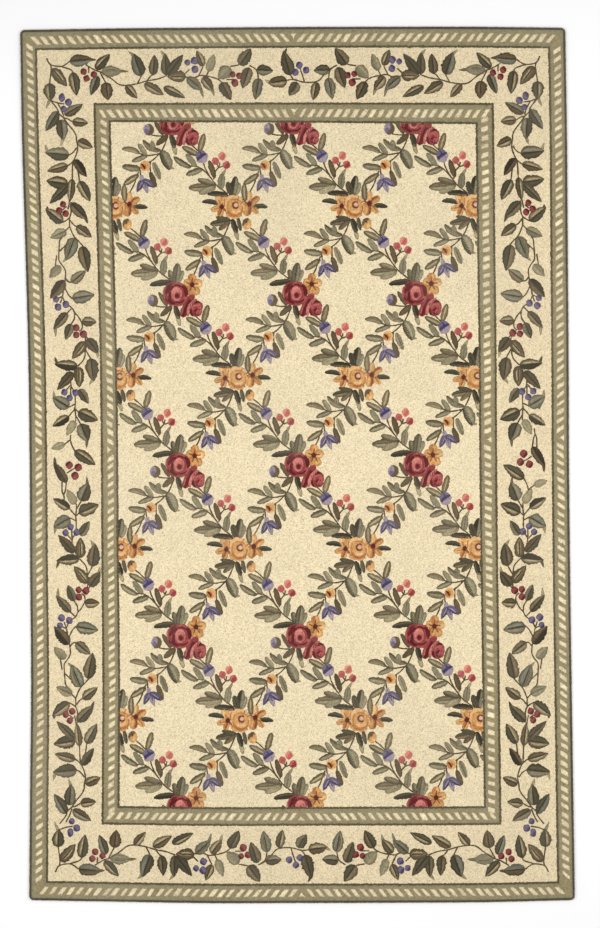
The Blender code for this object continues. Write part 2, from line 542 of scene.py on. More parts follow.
# From the upper left corner along the top, to its middle
END_LEAVES = [
    Leaf((69.8, 61.4), (92.7, 59.3), 11.6, "BTDB", (96.3, 59.8)),
    Leaf((72.7, 72.4), (76.7, 95.6), 10.5, "GBL"),
    Leaf((52.4, 68.7), (66.9, 86.2), 10.5, "BBL"),
    Leaf((49.5, 83.3), (50.2, 101.4), 11.6, "GBL", (46.0, 108.5)),
    Leaf((95.6, 69.4), (109.8, 54.2), 9.5, "BGL"),
    Leaf((101.4, 72.0), (122.5, 70.9), 10.5, "SSOK", (128.3, 71.6)),
    Leaf((97.8, 76.0), (90.9, 95.3), 9.0, "GTD"),
    Leaf((105.8, 82.5), (108.0, 100.3), 11.5, "BBK"),
    Leaf((125.8, 85.4), (137.4, 98.5), 8.5, "KBL"),
    Leaf((141.4, 76.0), (133.4, 53.5), 12.5, "TGD", (128.3, 51.3)),
    Leaf((153.1, 75.3), (154.5, 54.9), 9.5, "BGK"),
    Leaf((144.4, 83.6), (163.6, 94.9), 9.5, "BKL"),
    Leaf((163.6, 87.3), (185.1, 97.8), 8.5, "BGL"),
    Leaf((166.2, 75.3), (165.1, 53.5), 9.5, "OGD", (160.4, 50.5)),
    Leaf((167.6, 75.3), (182.9, 54.9), 10.0, "GGD"),
    Leaf((185.8, 76.4), (167.3, 76.7), 11.0, "BBL"),
    Leaf((203.3, 66.5), (196.7, 50.5), 8.5, "BKL"),
    Leaf((208.3, 71.6), (214.2, 54.5), 8.5, "ES-"),
    Leaf((187.3, 77.4), (202.5, 90.5), 10.0, "STOS", (203.3, 97.8)),
    Leaf((202.5, 77.4), (213.4, 91.3), 9.5, "BKL", (214.2, 96.3)),
    Leaf((230.2, 67.3), (218.5, 78.9), 12.0, "SE-"),
    Leaf((239.6, 65.1), (250.9, 48.7), 12.0, "KGD"),
    Leaf((249.1, 67.6), (242.5, 88.4), 11.0, "KGD"),
    Leaf((221.4, 82.5), (230.9, 100.0), 11.0, "BGK"),
    Leaf((256.7, 69.8), (273.1, 70.9), 10.5, "GSD"),
    Leaf((258.9, 78.2), (255.3, 99.6), 10.5, "TSO"),
]
END_STEMS = [
    [(46.5, 58.2), (50.5, 64.7), (60.7, 66.5), (66.0, 64.2), (69.8, 61.2)],
    [(60.7, 66.5), (70.9, 69.8), (73.2, 73.4)],
    [(50.5, 64.7), (51.3, 69.1), (50.2, 78.9), (49.5, 83.8)],
    [(50.9, 100.6), (57.5, 102.9), (64.4, 104.0)],
    [(86.2, 65.1), (89.8, 67.3), (95.6, 70.5), (101.4, 72.4), (111.6, 78.9), (118.2, 84.0),
     (124.7, 85.4), (136.3, 84.0), (146.5, 81.1), (158.0, 79.0), (166.9, 75.6)],
    [(88.5, 66.5), (88.9, 73.1)],
    [(100.0, 72.4), (105.6, 82.5)],
    [(141.4, 76.0), (137.4, 83.8)],
    [(147.3, 80.8), (150.9, 75.8), (153.1, 75.0)],
    [(183.6, 75.3), (189.4, 69.4)],
    [(185.8, 77.1), (194.5, 77.8), (199.6, 75.6), (205.4, 76.0), (212.7, 77.4), (218.5, 79.6),
     (222.2, 82.9)],
    [(202.9, 67.0), (198.9, 75.6)],
    [(208.3, 71.6), (206.2, 76.4)],
    [(230.2, 66.5), (238.9, 65.0)],
    [(226.5, 79.6), (234.9, 79.6)],
    [(249.8, 65.5), (256.4, 70.2), (258.5, 78.0)],
]
END_BERRIES = [
    Berry((61.9, 97.7), 3.2, "VU", 1.4), Berry((68.4, 102.3), 3.6, "VU"),
    Berry((63.5, 109.0), 3.1, "VU"),
    Berry((83.6, 71.6), 3.3, "HJ"), Berry((86.5, 78.5), 3.3, "HJ"), Berry((93.8, 74.5), 3.3, "HJ"),
    Berry((187.3, 62.5), 3.0, "VU"), Berry((194.2, 60.7), 3.7, "VU"), Berry((194.9, 69.4), 3.6, "VU"),
    Berry((232.7, 74.5), 3.0, "HJ"), Berry((239.2, 75.8), 3.2, "HJ"), Berry((234.9, 83.0), 3.7, "HJ"),
]

# From the corner down the left side, to the line about which it is mirrored
SIDE_LEAVES = [
    Leaf((64.4, 115.0), (82.8, 104.3), 9.5, "SBD"),
    Leaf((58.1, 111.5), (46.0, 131.0), 10.0, "GTD"),
    Leaf((61.2, 119.6), (63.3, 140.8), 11.2, "SGD", (60.7, 146.5)),
    Leaf((72.2, 121.6), (88.0, 123.3), 9.2, "KBL"),
    Leaf((77.6, 140.8), (92.8, 147.7), 9.5, "BKL"),
    Leaf((69.0, 155.1), (45.2, 152.6), 13.0, "GSD", (45.0, 144.5)),
    Leaf((67.9, 165.5), (47.2, 171.2), 9.0, "BKL"),
    Leaf((74.7, 159.7), (86.5, 177.0), 8.5, "DBB"),
    Leaf((68.1, 184.3), (46.3, 180.8), 12.5, "GBL"),
    Leaf((68.4, 185.2), (49.8, 203.6), 9.0, "GO-"),
    Leaf((72.2, 178.9), (69.9, 201.9), 8.0, "BKL"),
    Leaf((79.3, 181.2), (90.0, 201.3), 10.5, "GKL"),
    Leaf((70.7, 203.3), (87.4, 219.7), 10.5, "GKDG", (87.9, 223.7)),
    Leaf((62.7, 222.5), (45.5, 208.7), 11.0, "GKLG", (47.2, 206.0)),
    Leaf((76.5, 226.0), (91.7, 237.4), 9.5, "BKL"),
    Leaf((66.1, 230.6), (50.3, 238.0), 9.5, "SED"),
    Leaf((74.7, 238.0), (66.1, 260.4), 12.5, "TSO", (62.5, 262.5)),
    Leaf((82.2, 246.1), (87.9, 272.1), 12.0, "GKD"),
    Leaf((60.4, 266.0), (49.6, 277.8), 9.0, "ES-"),
    Leaf((71.3, 282.4), (85.6, 270.7), 10.0, "SKD"),
    Leaf((64.7, 280.7), (50.3, 298.5), 11.0, "KDB"),
    Leaf((72.4, 298.5), (94.5, 294.8), 12.5, "STD"),
    Leaf((67.3, 312.9), (53.5, 329.5), 9.0, "KGD", (55.8, 337.0)),
    Leaf((71.3, 323.8), (65.6, 339.8), 8.5, "SGO"),
    Leaf((81.9, 321.5), (96.6, 322.0), 9.8, "KBL"),
    Leaf((87.4, 338.6), (98.3, 353.2), 10.5, "GBD", (98.0, 358.4)),
    Leaf((85.6, 341.8), (72.4, 358.7), 10.0, "BBL"),
    Leaf((90.8, 358.4), (93.7, 381.4), 12.5, "GBK", (89.1, 384.8)),
    Leaf((77.6, 366.4), (54.6, 364.1), 10.5, "DOLB", (54.6, 356.7)),
    Leaf((73.0, 372.2), (57.2, 390.0), 9.5, "BGD"),
    Leaf((78.8, 367.0), (79.3, 387.4), 10.5, "BBL"),
    Leaf((79.3, 389.1), (88.5, 403.8), 8.5, "SGO"),
    Leaf((69.0, 407.2), (52.6, 397.4), 13.0, "TSD", (53.5, 390.6)),
    Leaf((78.2, 411.8), (98.0, 420.4), 12.5, "BGL"),
    Leaf((69.0, 416.3), (52.6, 426.4), 9.0, "DKL"),
    Leaf((74.7, 420.6), (66.7, 435.5), 8.3, "EE-"),
    Leaf((80.5, 423.8), (87.9, 441.9), 13.0, "GSDK", (86.5, 448.3)),
]
SIDE_STEMS = [
    [(51.2, 101.2), (57.5, 109.2), (59.2, 113.8), (63.3, 117.8), (67.9, 124.1), (73.6, 131.0),
     (76.2, 136.2), (76.5, 140.8), (77.6, 146.0), (77.3, 151.1), (74.7, 158.6), (71.9, 162.6),
     (67.9, 165.9)],
    [(57.5, 102.9), (61.0, 109.2), (63.8, 116.4)],
    [(63.3, 117.8), (67.9, 119.0), (71.9, 121.7)],
    [(76.5, 147.7), (73.0, 152.6), (68.6, 155.2)],
    [(72.7, 162.6), (72.4, 172.0), (72.3, 179.2)],
    [(77.0, 166.0), (78.5, 174.1), (79.5, 181.0)],
    [(69.6, 199.0), (69.0, 204.1), (67.9, 209.5)],
    [(66.7, 206.4), (62.7, 209.9)],
    [(71.0, 202.0), (71.0, 213.0), (69.3, 217.9), (66.7, 220.2), (62.5, 222.6)],
    [(69.3, 217.9), (69.6, 223.7), (69.6, 226.5), (72.4, 233.4), (74.7, 237.4), (79.3, 242.0),
     (83.4, 246.5)],
    [(70.1, 220.2), (73.6, 224.8), (76.3, 226.4)],
    [(69.6, 226.5), (66.0, 230.4)],
    [(62.1, 237.4), (59.8, 240.3), (59.2, 246.1), (59.0, 252.4), (59.0, 260.6), (62.7, 265.8),
     (65.3, 270.4), (65.6, 275.0), (65.0, 281.0), (64.1, 285.9), (63.3, 291.0), (62.7, 296.2)],
    [(65.5, 245.5), (59.6, 251.2)],
    [(56.7, 255.5), (55.3, 265.6)],
    [(65.6, 278.4), (68.4, 281.9), (71.5, 282.3)],
    [(64.1, 286.4), (66.7, 291.6), (69.0, 295.6), (72.6, 298.8)],
    [(62.7, 296.2), (58.5, 298.3)],
    [(62.2, 297.3), (60.5, 303.1)],
    [(62.7, 297.3), (64.5, 301.5)],
    [(67.5, 304.5), (72.4, 308.5), (74.7, 312.9), (77.6, 315.7), (80.5, 320.3), (82.2, 324.3),
     (81.9, 328.9), (79.0, 331.4)],
    [(71.3, 308.8), (67.2, 313.0)],
    [(74.7, 313.5), (74.2, 319.2), (71.3, 324.0)],
    [(83.6, 334.0), (85.1, 337.0), (85.6, 342.3), (85.1, 350.4), (85.1, 355.0), (83.4, 360.1),
     (79.3, 364.7), (77.6, 366.4)],
    [(85.2, 335.5), (87.9, 338.9)],
    [(85.6, 349.8), (87.9, 353.8), (90.6, 358.6)],
    [(71.0, 372.5), (71.0, 385.4), (74.5, 391.5)],
    [(70.3, 385.5), (66.0, 390.5)],
    [(70.7, 387.1), (70.8, 395.5)],
    [(74.9, 393.5), (75.3, 400.9), (74.7, 408.9), (71.9, 412.4), (68.8, 416.4)],
    [(74.7, 404.3), (71.3, 406.1), (68.8, 407.3)],
    [(74.7, 408.9), (75.6, 414.0), (75.8, 421.2)],
    [(75.0, 408.9), (78.4, 412.0)],
    [(76.0, 416.0), (80.6, 424.0)],
]
SIDE_BERRIES = [
    Berry((63.0, 204.4), 3.2, "HJ"), Berry((59.2, 210.5), 3.4, "HJ"), Berry((65.6, 213.6), 3.4, "HJ"),
    Berry((56.1, 299.4), 3.1, "VU"), Berry((58.1, 307.1), 3.6, "VU"), Berry((65.8, 304.5), 3.5, "VU"),
    Berry((76.2, 327.8), 3.5, "HJ"), Berry((76.2, 335.0), 3.3, "HJ"), Berry((83.4, 334.1), 3.7, "HJ"),
    Berry((64.4, 392.3), 3.3, "VU"), Berry((75.6, 392.6), 3.5, "VU"), Berry((69.6, 398.0), 3.3, "VU"),
]

# The middle of the top, which the foot repeats the other way round
TOP_MIDDLE_LEAVES = [
    Leaf((290.5, 75.3), (283.3, 51.3), 12.0, "GODG", (286.9, 47.8)),
    Leaf((286.9, 80.4), (268.0, 83.3), 11.5, "KBL", (264.4, 79.6)),
    Leaf((297.8, 82.5), (289.1, 95.6), 10.5, "SGO"),
    Leaf((316.7, 82.2), (313.1, 100.3), 9.0, "BKL"),
]
TOP_MIDDLE_STEMS = [
    [(286.9, 80.4), (293.4, 79.6), (303.6, 82.2), (313.1, 82.2), (319.6, 80.0), (325.4, 73.1),
     (332.7, 67.3), (337.0, 65.4)],
    [(300.0, 68.5), (302.9, 76.7), (304.3, 81.8)],
    [(290.5, 75.3), (293.4, 79.6)],
]
TOP_MIDDLE_BERRIES = [
    Berry((299.3, 65.1), 3.4, "VU"), Berry((306.2, 70.2), 3.4, "VU"), Berry((295.3, 72.4), 3.4, "VU"),
]

# The middle of the left side, which the right side repeats the other way round
SIDE_MIDDLE_LEAVES = [
    Leaf((64.7, 444.1), (51.2, 448.7), 7.5, "EE-"),
    Leaf((74.7, 451.0), (95.4, 464.8), 11.0, "BGL"),
    Leaf((66.7, 482.6), (53.5, 461.9), 8.8, "DBBB", (54.6, 456.8)),
]
SIDE_MIDDLE_STEMS = [
    [(70.7, 435.0), (70.4, 439.6), (71.9, 445.3), (74.9, 451.2)],
    [(70.4, 439.6), (64.5, 444.3)],
    [(67.0, 473.2), (71.5, 470.0), (75.5, 468.0)],
    [(62.1, 477.0), (62.1, 491.2), (63.8, 495.2), (64.4, 501.0)],
    [(66.4, 482.0), (65.3, 490.6), (63.5, 495.2)],
]
SIDE_MIDDLE_BERRIES = [
    Berry((69.3, 465.1), 3.7, "HJ"), Berry((78.2, 467.4), 3.8, "HJ"), Berry((75.0, 475.7), 3.9, "HJ"),
]

VINE_TURN = on_rug((50.0, 462.5))[1]         # the line about which the sides are mirrored
ALL_ENDS = [Place(0.0, 0.0, across, along) for across in (1, -1) for along in (1, -1)]
ALL_SIDES = [Place(0.0, v, across, along) for across in (1, -1)
             for v, along in ((0.0, 1), (2 * VINE_TURN, -1))]
HALF_TURNS = [Place(0.0, 0.0, way, way) for way in (1, -1)]

# Each part of the vine with the places where it goes
VINE = [
    (Spray(END_LEAVES, (), END_BERRIES, END_STEMS), ALL_ENDS),
    (Spray(SIDE_LEAVES, (), SIDE_BERRIES, SIDE_STEMS), ALL_SIDES),
    (Spray(TOP_MIDDLE_LEAVES, (), TOP_MIDDLE_BERRIES, TOP_MIDDLE_STEMS), HALF_TURNS),
    (Spray(SIDE_MIDDLE_LEAVES, (), SIDE_MIDDLE_BERRIES, SIDE_MIDDLE_STEMS), HALF_TURNS),
]

# ---------------------------------------------------------------- chart of the trellis

TRELLIS_START = (0.0075, 0.4654)             # a red cluster's node on the squared-up rug
HALF_ACROSS, HALF_DOWN = 0.1680, 0.2382      # metres from a node to the next slanting one

FALLING_SPRAY = Spray([        # from a node down to the right
    Leaf((86.2, 114.6), (91.4, 96.6), 6.8, "KKL"),
    Leaf((85.6, 118.2), (68.9, 109.4), 6.6, "OKL"),
    Leaf((82.8, 129.8), (73.0, 116.6), 6.3, "SS-"),
    Leaf((77.4, 130.2), (60.4, 119.6), 6.2, "SOE", None, 0.05),
    Leaf((89.0, 131.6), (72.2, 137.6), 6.6, "SOE"),
    Leaf((101.0, 141.0), (95.6, 123.2), 6.0, "BB-"),
    Leaf((106.6, 152.4), (108.6, 136.4), 7.4, "SSO", (112.6, 131.4)),
    Leaf((99.8, 147.2), (83.8, 142.0), 6.6, "OSK"),
    Leaf((102.0, 148.8), (74.6, 150.8), 9.0, "EKD"),
    Leaf((101.4, 149.8), (84.8, 156.2), 7.2, "EE-"),
], [
    Disc((88.4, 119.9), 6.1, "I", [
        Arc(0.0, 1.36, 0, 360, "U", -0.52, 0.36), Arc(0.0, 1.20, 0, 360, "U", 0.30, 0.70),
        Arc(0.0, 0.62, 0, 360, "V", -0.62, -0.28),
    ], 1, 5, 0.3, 1.06),
    Strokes([
        Leaf((83.8, 122.8), (93.2, 116.4), 3.2, "VV-", None, 0.06),
        Leaf((86.6, 114.6), (88.6, 118.6), 1.6, "VV-"),
    ]),
], [
    Berry((102.0, 124.0), 3.6, "jR"), Berry((108.8, 119.2), 3.8, "Qj", 1.14),
    Berry((113.0, 128.0), 3.8, "jC"),
], [
    [(72.5, 129.3), (81.9, 128.8), (86.9, 131.0), (91.3, 134.3), (97.3, 141.0), (100.0, 144.9),
     (103.8, 149.3), (108.8, 153.1), (113.4, 156.6)],
    [(75.5, 105.6), (79.5, 108.6), (84.0, 113.0), (88.0, 116.5)],
    [(90.0, 125.6), (91.4, 130.5), (94.8, 137.2), (97.4, 141.5)],
    [(106.4, 125.6), (105.2, 130.1), (101.6, 134.6), (99.8, 142.2)],
    [(110.2, 128.8), (105.8, 130.4)],
    [(103.2, 126.6), (105.2, 129.8)],
])

RISING_SPRAY = Spray([         # from a node down to the left
    Leaf((47.6, 113.4), (29.8, 102.8), 6.3, "SOK", None, 0.13),
    Leaf((39.4, 113.4), (39.0, 103.6), 6.2, "SS-"),
    Leaf((26.6, 116.0), (8.6, 111.4), 6.0, "EKK", None, -0.10),
    Leaf((33.4, 118.0), (25.2, 106.4), 5.6, "SE-"),
    Leaf((34.4, 117.8), (18.4, 124.0), 5.5, "SOE"),
    Leaf((48.4, 113.0), (56.4, 132.4), 9.0, "SSE", (61.0, 131.2), 0.08),
    Leaf((46.9, 114.8), (56.0, 132.8), 4.6, "GG-", None, -0.06),
    Leaf((27.0, 131.4), (8.6, 128.8), 7.2, "SOE", None, 0.02),
    Leaf((39.8, 125.0), (46.4, 142.0), 6.2, "SEO"),
    Leaf((36.4, 134.4), (42.0, 149.6), 5.7, "BB-"),
    Leaf((25.0, 137.2), (9.4, 147.2), 6.4, "KOL"),
], [
    Disc((31.6, 128.4), 5.2, "Y", [
        Arc(0.88, 0.26, 270, 140, "A"), Arc(0.0, 1.30, 0, 360, "N", -0.45, -0.20),
    ], 2),
    Strokes([
        Leaf((27.6, 126.4), (31.6, 132.0), 2.4, "MM-", None, 0.10),
        Leaf((30.4, 126.6), (32.8, 130.6), 1.2, "NN-", None, 0.10),
    ]),
    Disc((27.8, 140.2), 2.3, "I", tall=1.3),
    Strokes([
        Leaf((29.4, 142.6), (33.6, 156.0), 6.0, "II-"),
        Leaf((28.8, 141.8), (22.8, 154.6), 6.4, "VUV"),
        Leaf((28.2, 142.2), (40.6, 150.4), 6.8, "UVV", None, 0.06),
    ], STACK, STACK, LEAF_TAPERED),
    Strokes([
        Leaf((28.6, 143.4), (24.6, 151.6), 1.5, "II-"),
        Leaf((30.6, 143.2), (37.8, 148.4), 1.5, "II-", None, 0.06),
        Leaf((29.8, 144.6), (32.2, 150.6), 1.4, "UU-"),
    ]),
], [], [
    [(55.0, 99.5), (53.1, 104.0), (50.6, 109.8), (47.8, 114.2), (43.6, 118.8), (39.8, 122.4),
     (35.4, 125.2)],
    [(45.4, 116.4), (37.5, 118.0), (32.2, 118.0), (27.5, 116.6), (23.8, 113.8)],
    [(37.0, 124.6), (36.6, 129.0), (36.8, 134.4)],
    [(26.4, 132.2), (26.8, 136.6), (27.6, 140.0)],
    [(25.2, 134.2), (22.6, 139.2), (21.2, 144.3), (18.8, 149.5), (15.6, 154.6)],
])

# Two red roses, an orange flower and a lilac bud, with their leaves
RED_CLUSTER = Spray([
    Leaf((50.4, 97.8), (42.0, 83.8), 5.0, "BO-"),
    Leaf((55.0, 97.8), (43.2, 107.8), 6.0, "BB-"),
    Leaf((60.0, 107.2), (62.9, 117.6), 4.6, "LL-"),
    Leaf((58.0, 96.5), (61.6, 111.0), 6.0, "DGD"),
    Leaf((55.6, 73.8), (33.2, 76.9), 6.4, "DGD", None, -0.03),
    Leaf((57.8, 75.0), (53.0, 61.8), 6.6, "OS-"),
    Leaf((60.6, 75.0), (67.2, 62.4), 6.6, "SE-"),
    Leaf((58.6, 76.0), (62.2, 55.2), 9.2, "OSD"),
], [
    Disc((36.0, 92.4), 5.4, "B", [
        Arc(0.0, 1.60, 0, 360, "I", -0.52, 0.26), Arc(0.0, 0.80, 0, 360, "I", -0.70, -0.40),
        Arc(0.0, 0.90, 0, 360, "U", -0.42, -0.22), Arc(0.52, 0.20, 110, 170, "U", 0.0, 0.1),
    ], tall=1.12),
    Flower((75.9, 76.4), "M", [
        Petal((76.2, 65.6), 8.6, "NYm"),
        Petal((86.0, 74.2), 8.8, "YAm"),
        Petal((81.7, 86.6), 8.6, "YYm"),
        Petal((72.2, 86.4), 8.2, "YNm"),
        Petal((67.6, 73.2), 8.2, "YYm"),
    ], 7),
    Strokes([
        Leaf((76.0, 75.2), (76.6, 69.4), 1.8, "MN-"),
        Leaf((77.4, 76.2), (82.4, 75.6), 1.7, "MN-"),
        Leaf((76.8, 78.0), (79.8, 82.8), 1.8, "MN-"),
        Leaf((75.2, 78.2), (73.2, 83.0), 1.8, "MN-"),
        Leaf((74.4, 76.0), (69.8, 74.2), 1.8, "MN-"),
        Leaf((79.4, 70.6), (77.8, 73.6), 1.4, "NN-"),
        Leaf((82.6, 80.6), (78.6, 78.6), 1.4, "NN-"),
        Leaf((70.4, 79.2), (73.8, 77.8), 1.4, "NN-"),
    ]),
    Strokes([Leaf((64.8, 108.6), (75.4, 87.4), 9.2, "RCW")], STACK),
    Disc((75.0, 88.6), 3.6, "C", [Arc(0.8, 0.5, 20, 170, "R")], 1),
    Disc((79.2, 100.2), 6.9, "C", [Arc(0.55, 0.72, 300, 200, "R")], 2, 5, 0.5, 1.25),
    Disc((58.8, 85.9), 12.6, "C", [Arc(0.85, 0.30, 300, 100, "R")], 3, 4, math.pi / 4),
    Strokes([
        Leaf((73.2, 98.6), (83.8, 94.4), 3.6, "WW-", None, 0.22),
        Leaf((73.8, 98.8), (75.8, 108.0), 2.8, "WH-", None, -0.10),
        Leaf((75.6, 99.4), (84.8, 97.0), 1.6, "PR-", None, 0.10),
        Leaf((77.2, 103.4), (83.2, 101.0), 2.4, "WW-", None, 0.10),
        Leaf((77.0, 104.6), (82.4, 107.2), 1.4, "HH-", None, -0.10),
        Leaf((79.6, 107.4), (85.4, 97.8), 1.5, "RP-", None, 0.16),
        Leaf((64.4, 107.0), (66.4, 98.0), 1.4, "PR-", None, -0.05),
        Leaf((70.6, 108.0), (80.0, 90.8), 4.2, "PP-", None, 0.13),
        Leaf((49.4, 85.8), (57.2, 78.0), 4.4, "WW-", None, 0.12),
        Leaf((54.0, 83.6), (53.8, 92.4), 3.0, "WH-", None, -0.08),
        Leaf((51.0, 90.6), (58.4, 95.4), 3.4, "WW-", None, -0.10),
        Leaf((66.2, 77.2), (69.4, 88.8), 4.4, "WW-", None, 0.13),
        Leaf((57.6, 77.4), (66.0, 79.6), 2.0, "HH-", None, 0.16),
        Leaf((58.2, 93.6), (67.4, 92.6), 1.8, "HH-", None, -0.14),
        Leaf((48.4, 79.0), (48.6, 91.0), 1.8, "RP-", None, -0.12),
        Leaf((50.6, 88.4), (51.6, 83.4), 1.6, "RP-"),
        Leaf((56.4, 96.6), (66.8, 95.2), 1.8, "RR-", None, -0.12),
        Leaf((50.4, 79.4), (56.2, 75.6), 1.8, "WH-", None, 0.10),
        Leaf((60.8, 75.4), (66.2, 77.4), 1.6, "RR-", None, 0.08),
        Leaf((62.8, 94.6), (68.0, 91.0), 2.0, "WH-", None, -0.10),
        Leaf((48.4, 88.8), (50.8, 93.6), 1.6, "WH-", None, -0.08),
    ]),
    Disc((60.0, 85.6), 5.7, "P", [
        Arc(0.80, 0.36, 50, 140, "Q"), Arc(0.88, 0.18, 300, 20, "R"), Arc(0.84, 0.20, 170, 230, "R"),
        Arc(0.62, 0.16, 320, 60, "R"), Arc(0.0, 1.20, 0, 360, "C", 0.10, -0.28, 0.9),
        Arc(0.0, 0.84, 0, 360, "W", 0.08, -0.30, 0.9),
    ], 7, tall=1.26),
], [], [
    [(38.6, 97.6), (44.2, 98.6), (52.5, 98.6)],
])

# A gold rose between two flowers, a bud below it, and dark leaves
GOLD_CLUSTER = Spray([
    Leaf((77.8, 84.6), (93.2, 85.0), 5.2, "GDD", None, 0.07),
    Leaf((44.0, 81.6), (27.4, 79.4), 5.2, "DG-", None, -0.09),
    Leaf((54.4, 73.6), (33.0, 71.6), 6.0, "GDD", None, -0.06),
    Leaf((57.8, 73.8), (53.4, 59.6), 7.2, "GGD"),
    Leaf((60.4, 73.4), (65.6, 60.6), 7.0, "SE-"),
    Leaf((58.4, 73.6), (62.0, 54.0), 8.4, "DSD"),
    Leaf((54.6, 98.4), (43.8, 107.6), 5.2, "KB-"),
    Leaf((56.2, 98.0), (41.2, 94.6), 4.8, "GG-"),
    Leaf((55.8, 97.8), (35.2, 101.8), 7.2, "KGD"),
    Leaf((60.0, 107.2), (62.9, 117.6), 4.4, "LL-"),
    Leaf((57.2, 96.4), (61.8, 111.2), 6.0, "DGD"),
    Leaf((63.0, 95.0), (65.8, 108.4), 4.4, "GO-"),
], [
    Flower((74.9, 81.6), "M", [
        Petal((75.6, 69.2), 6.0, "AYm"),
        Petal((85.2, 75.0), 7.0, "NYm"),
        Petal((83.4, 91.2), 6.2, "YYm"),
        Petal((71.6, 93.6), 8.4, "NYm"),
        Petal((67.2, 83.8), 4.0, "NNm"),
    ]),
    Flower((47.4, 84.4), "M", [
        Petal((43.0, 72.2), 7.6, "AYm"),
        Petal((51.0, 72.4), 7.2, "YAm"),
        Petal((36.2, 87.6), 6.2, "YYm"),
        Petal((44.6, 94.4), 6.4, "YNm"),
    ]),
    Strokes([
        Leaf((75.4, 82.8), (74.2, 92.2), 2.0, "MN-", None, 0.04),
        Leaf((76.2, 80.4), (83.0, 75.2), 1.6, "MN-", None, 0.10),
        Leaf((73.4, 81.2), (69.4, 78.8), 1.8, "MN-"),
        Leaf((76.8, 83.6), (82.2, 89.8), 1.6, "NN-", None, 0.06),
        Leaf((46.8, 86.0), (44.4, 92.4), 1.8, "MN-", None, 0.06),
        Leaf((48.6, 85.4), (51.2, 89.0), 2.2, "MN-"),
        Leaf((46.4, 83.0), (44.2, 77.2), 1.6, "NN-"),
        Leaf((45.4, 85.6), (39.2, 86.6), 1.4, "NN-"),
    ]),
    Disc((59.4, 84.4), 10.7, "Y", [
        Arc(0.88, 0.34, 25, 205, "A"), Arc(0.90, 0.20, 330, 20, "A"),
        Arc(0.78, 0.30, 205, 318, "N", 0.04, 0.04),
    ], 2, 6, 0.9, 1.12),
    Strokes([
        Leaf((50.8, 75.8), (50.4, 84.6), 1.3, "NN-", None, -0.06),
        Leaf((54.6, 78.0), (53.4, 88.6), 1.8, "NY-", None, -0.10),
        Leaf((53.2, 88.0), (67.8, 90.0), 2.2, "NN-", None, -0.29),
        Leaf((56.0, 92.6), (62.6, 93.6), 1.2, "MN-", None, -0.06),
        Leaf((68.0, 83.6), (66.4, 90.8), 1.7, "NN-", None, 0.10),
        Leaf((56.8, 77.6), (66.8, 79.8), 1.4, "NN-", None, 0.16),
        Leaf((64.4, 74.0), (62.6, 78.4), 1.4, "NN-", None, 0.10),
        Leaf((69.8, 79.4), (66.4, 81.4), 1.4, "NN-", None, -0.10),
        Leaf((51.4, 91.2), (54.6, 88.6), 1.4, "NN-", None, 0.10),
        Leaf((67.0, 94.0), (64.4, 90.8), 1.4, "NN-", None, -0.10),
    ]),
    Disc((60.6, 85.0), 6.5, "Y", [
        Arc(0.70, 0.44, 215, 340, "A"), Arc(0.0, 1.16, 0, 360, "N", 0.06, 0.28),
        Arc(0.42, 0.28, 30, 350, "M", 0.06, 0.30), Arc(0.0, 0.66, 0, 360, "F", 0.14, 0.30),
    ], 7, 5, 0.3, 1.10),
    Disc((72.0, 101.5), 4.7, "Y", [
        Arc(0.0, 0.8, 0, 360, "A", 0.35, -0.45), Arc(0.0, 1.30, 0, 360, "B", -0.50, 0.60),
        Arc(0.0, 1.00, 0, 360, "B", 0.20, 0.90), Arc(0.0, 0.70, 0, 360, "B", -0.85, -0.10),
        Arc(0.0, 0.36, 0, 360, "M", -0.02, 0.28),
    ], tall=1.26),
    Strokes([Leaf((70.8, 79.0), (70.4, 61.6), 6.0, "KKL", None, 0.03)], powers=LEAF_POINTED),
], [], [])


# ---------------------------------------------------------------- sewing the charts


def berries(rows, chart, read, place):
    """Round berries with a dark side up and a light side down."""
    for berry in chart:
        dark, light = berry.wools
        shading = (Arc(0.62, 0.84, 60, 215, dark), Arc(0.98, 0.30, 0, 360, dark))
        turn = draw.uniform(0, math.pi / 2)
        disc(rows, Disc(berry.centre, berry.radius, light, shading, 0, 4, turn, berry.tall),
             read, place)


def routes_at(stems, read, place):
    """Charted stems as routes on the squared-up rug."""
    return [put_down(np.array([read(point) for point in route]), place) for route in stems]


def vine(leaves, fruit):
    """Leaves and berries all round the border. Returns the stems' routes."""
    routes = []
    for spray, places in VINE:
        for place in places:
            for k, row in enumerate(spray.leaves):
                wide = row._replace(width=VINE_WIDENING * row.width)
                vine_leaf(leaves, wide, on_rug, place, (k % 4) * STACK)
            berries(fruit, spray.berries, on_rug, place)
            routes += routes_at(spray.stems, on_rug, place)
    return routes


def sew(greens, blooms, fruit, spray, place):
    """One spray of the trellis: leaves, then blooms from the lowest up, then berries."""
    for k, row in enumerate(spray.leaves):
        leaf(greens, row, from_node, place, (k % 4) * STACK)
    for bloom in spray.blooms:
        if isinstance(bloom, Strokes):
            for k, row in enumerate(bloom.leaves):
                leaf(blooms, row, from_node, place, bloom.lift + k * bloom.step, bloom.powers)
        else:
            make = flower if isinstance(bloom, Flower) else disc
            make(blooms, bloom, from_node, place)
    berries(fruit, spray.berries, from_node, place)


